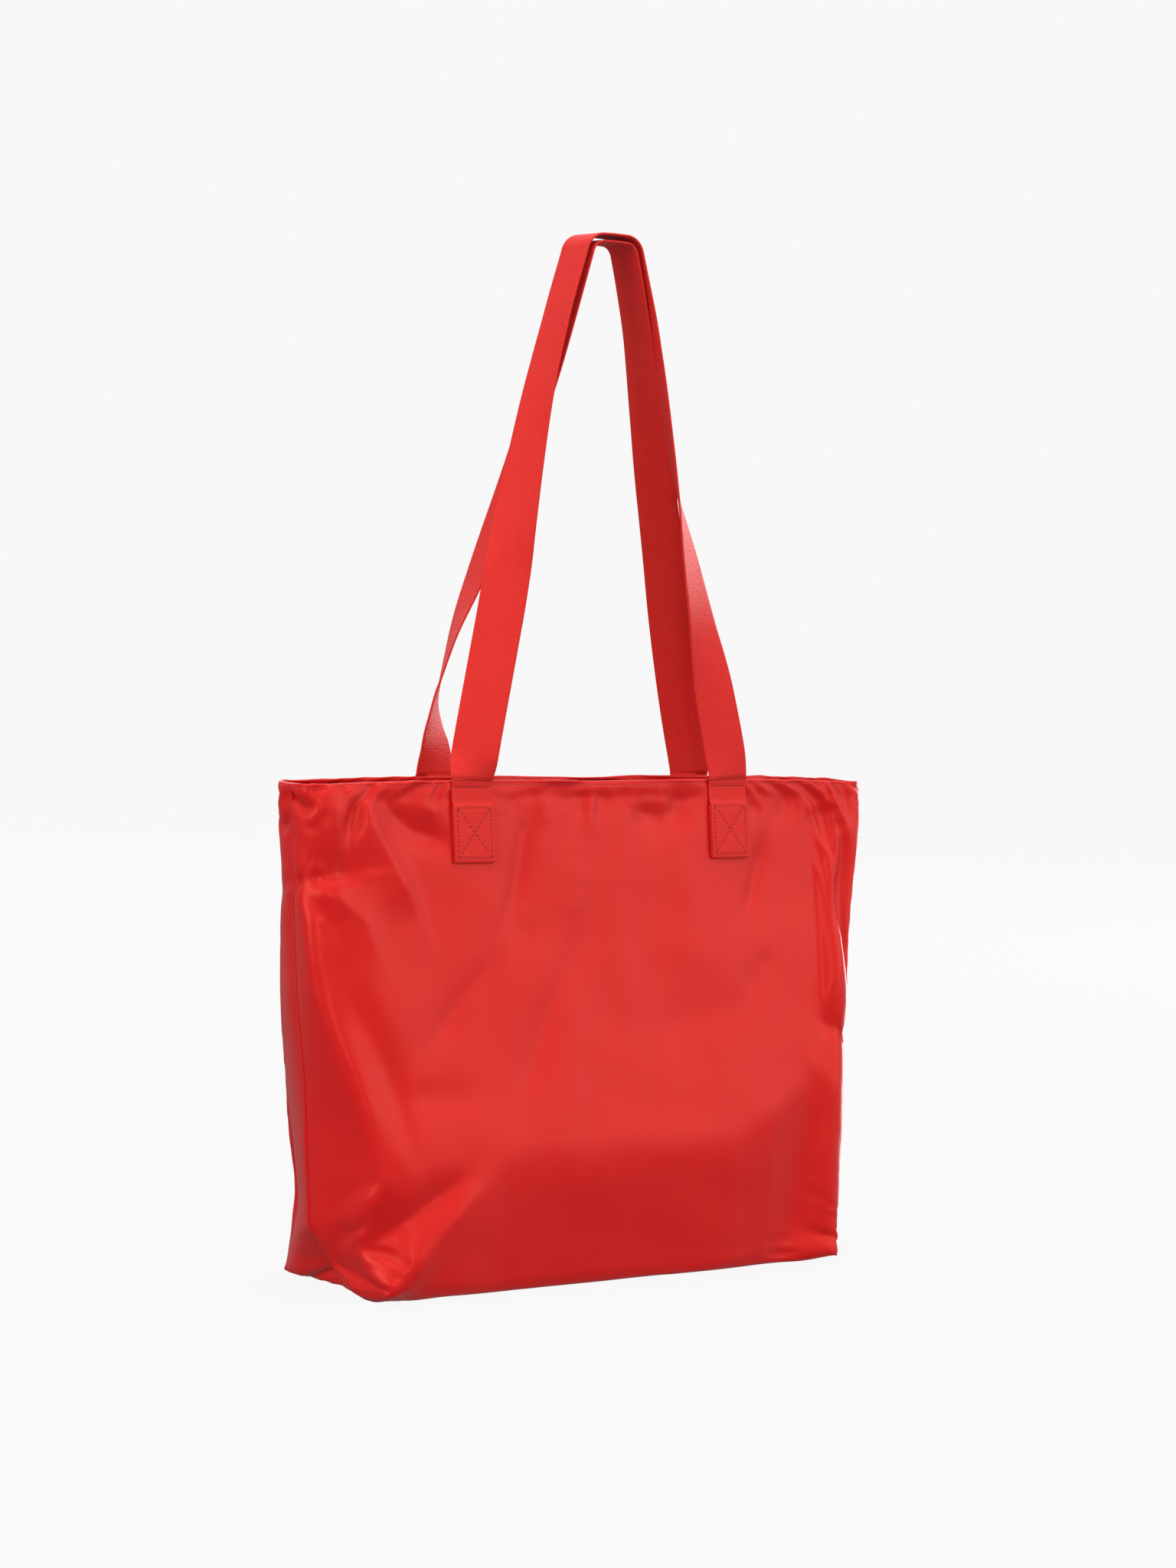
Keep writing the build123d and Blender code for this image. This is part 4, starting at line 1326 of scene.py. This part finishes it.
# How far inward from the wall's cloth the pocket and the tapes lie, and how thick they are
POCKET_LAYER = (1.9, 0.5)
TAPE_LAYER = (1.45, 0.4)
header = back_patch("pocket_header_cloth", POCKET_HALF, POCKET_TOP, ZIP_DOWN - CLOTH_GAP, *POCKET_LAYER)
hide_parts("pocket_header")
pocket = back_patch("pocket_cloth", POCKET_HALF, ZIP_DOWN + CLOTH_GAP, POCKET_FOOT, *POCKET_LAYER, sag=1.6)
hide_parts("pocket_panel")
for part, top, foot in (("upper", ZIP_DOWN - TAPE_OUTER, ZIP_DOWN - TAPE_INNER),
                        ("lower", ZIP_DOWN + TAPE_INNER, ZIP_DOWN + TAPE_OUTER)):
    tape = back_patch(part + "_zip_tape", TAPE_HALF, top, foot, *TAPE_LAYER, material=tape_red, slot="zip_tape")
    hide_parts("zip_tape_" + part)


def zip_spiral(name, side, pitch=1.5, wire=0.3):
    """One half of the zip's coil: a flattened spiral that reaches past the zip's line into the other half."""
    low, high = (np.array(corner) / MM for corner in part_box("zip_coil"))
    slope = radians(PANEL_DEGREES)
    across = side * np.array([0, -sin(slope), cos(slope)])
    inward = np.array([0, -cos(slope), -sin(slope)])
    turns = (high[0] - low[0] - 2 * wire) / pitch - 0.5
    turn = np.linspace(0, 2 * pi * turns, int(turns * (12)))[:, None]
    middle = (low + high) / 2
    middle[0] = low[0] + wire + (pitch / 2 if side > 0 else 0)
    centres = (middle + np.array([1.0, 0, 0]) * turn * pitch / (2 * pi)
               + across * (0.55 + 1.15 * np.cos(turn)) + inward * 0.4 * np.sin(turn))
    run = unit(np.gradient(centres, axis=0))
    round_wire = across * np.cos(turn) + inward * np.sin(turn)
    outs = unit(round_wire - run * np.sum(run * round_wire, axis=1, keepdims=True))
    piece = sweep(name, centres, np.cross(run, outs), outs, round_outline(wire)[1])
    finish_piece(piece, teeth_red)
    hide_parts("zip_coil")
    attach(piece, "back_wall")


zip_spiral("upper_zip_coil", 1)
zip_spiral("lower_zip_coil", -1)
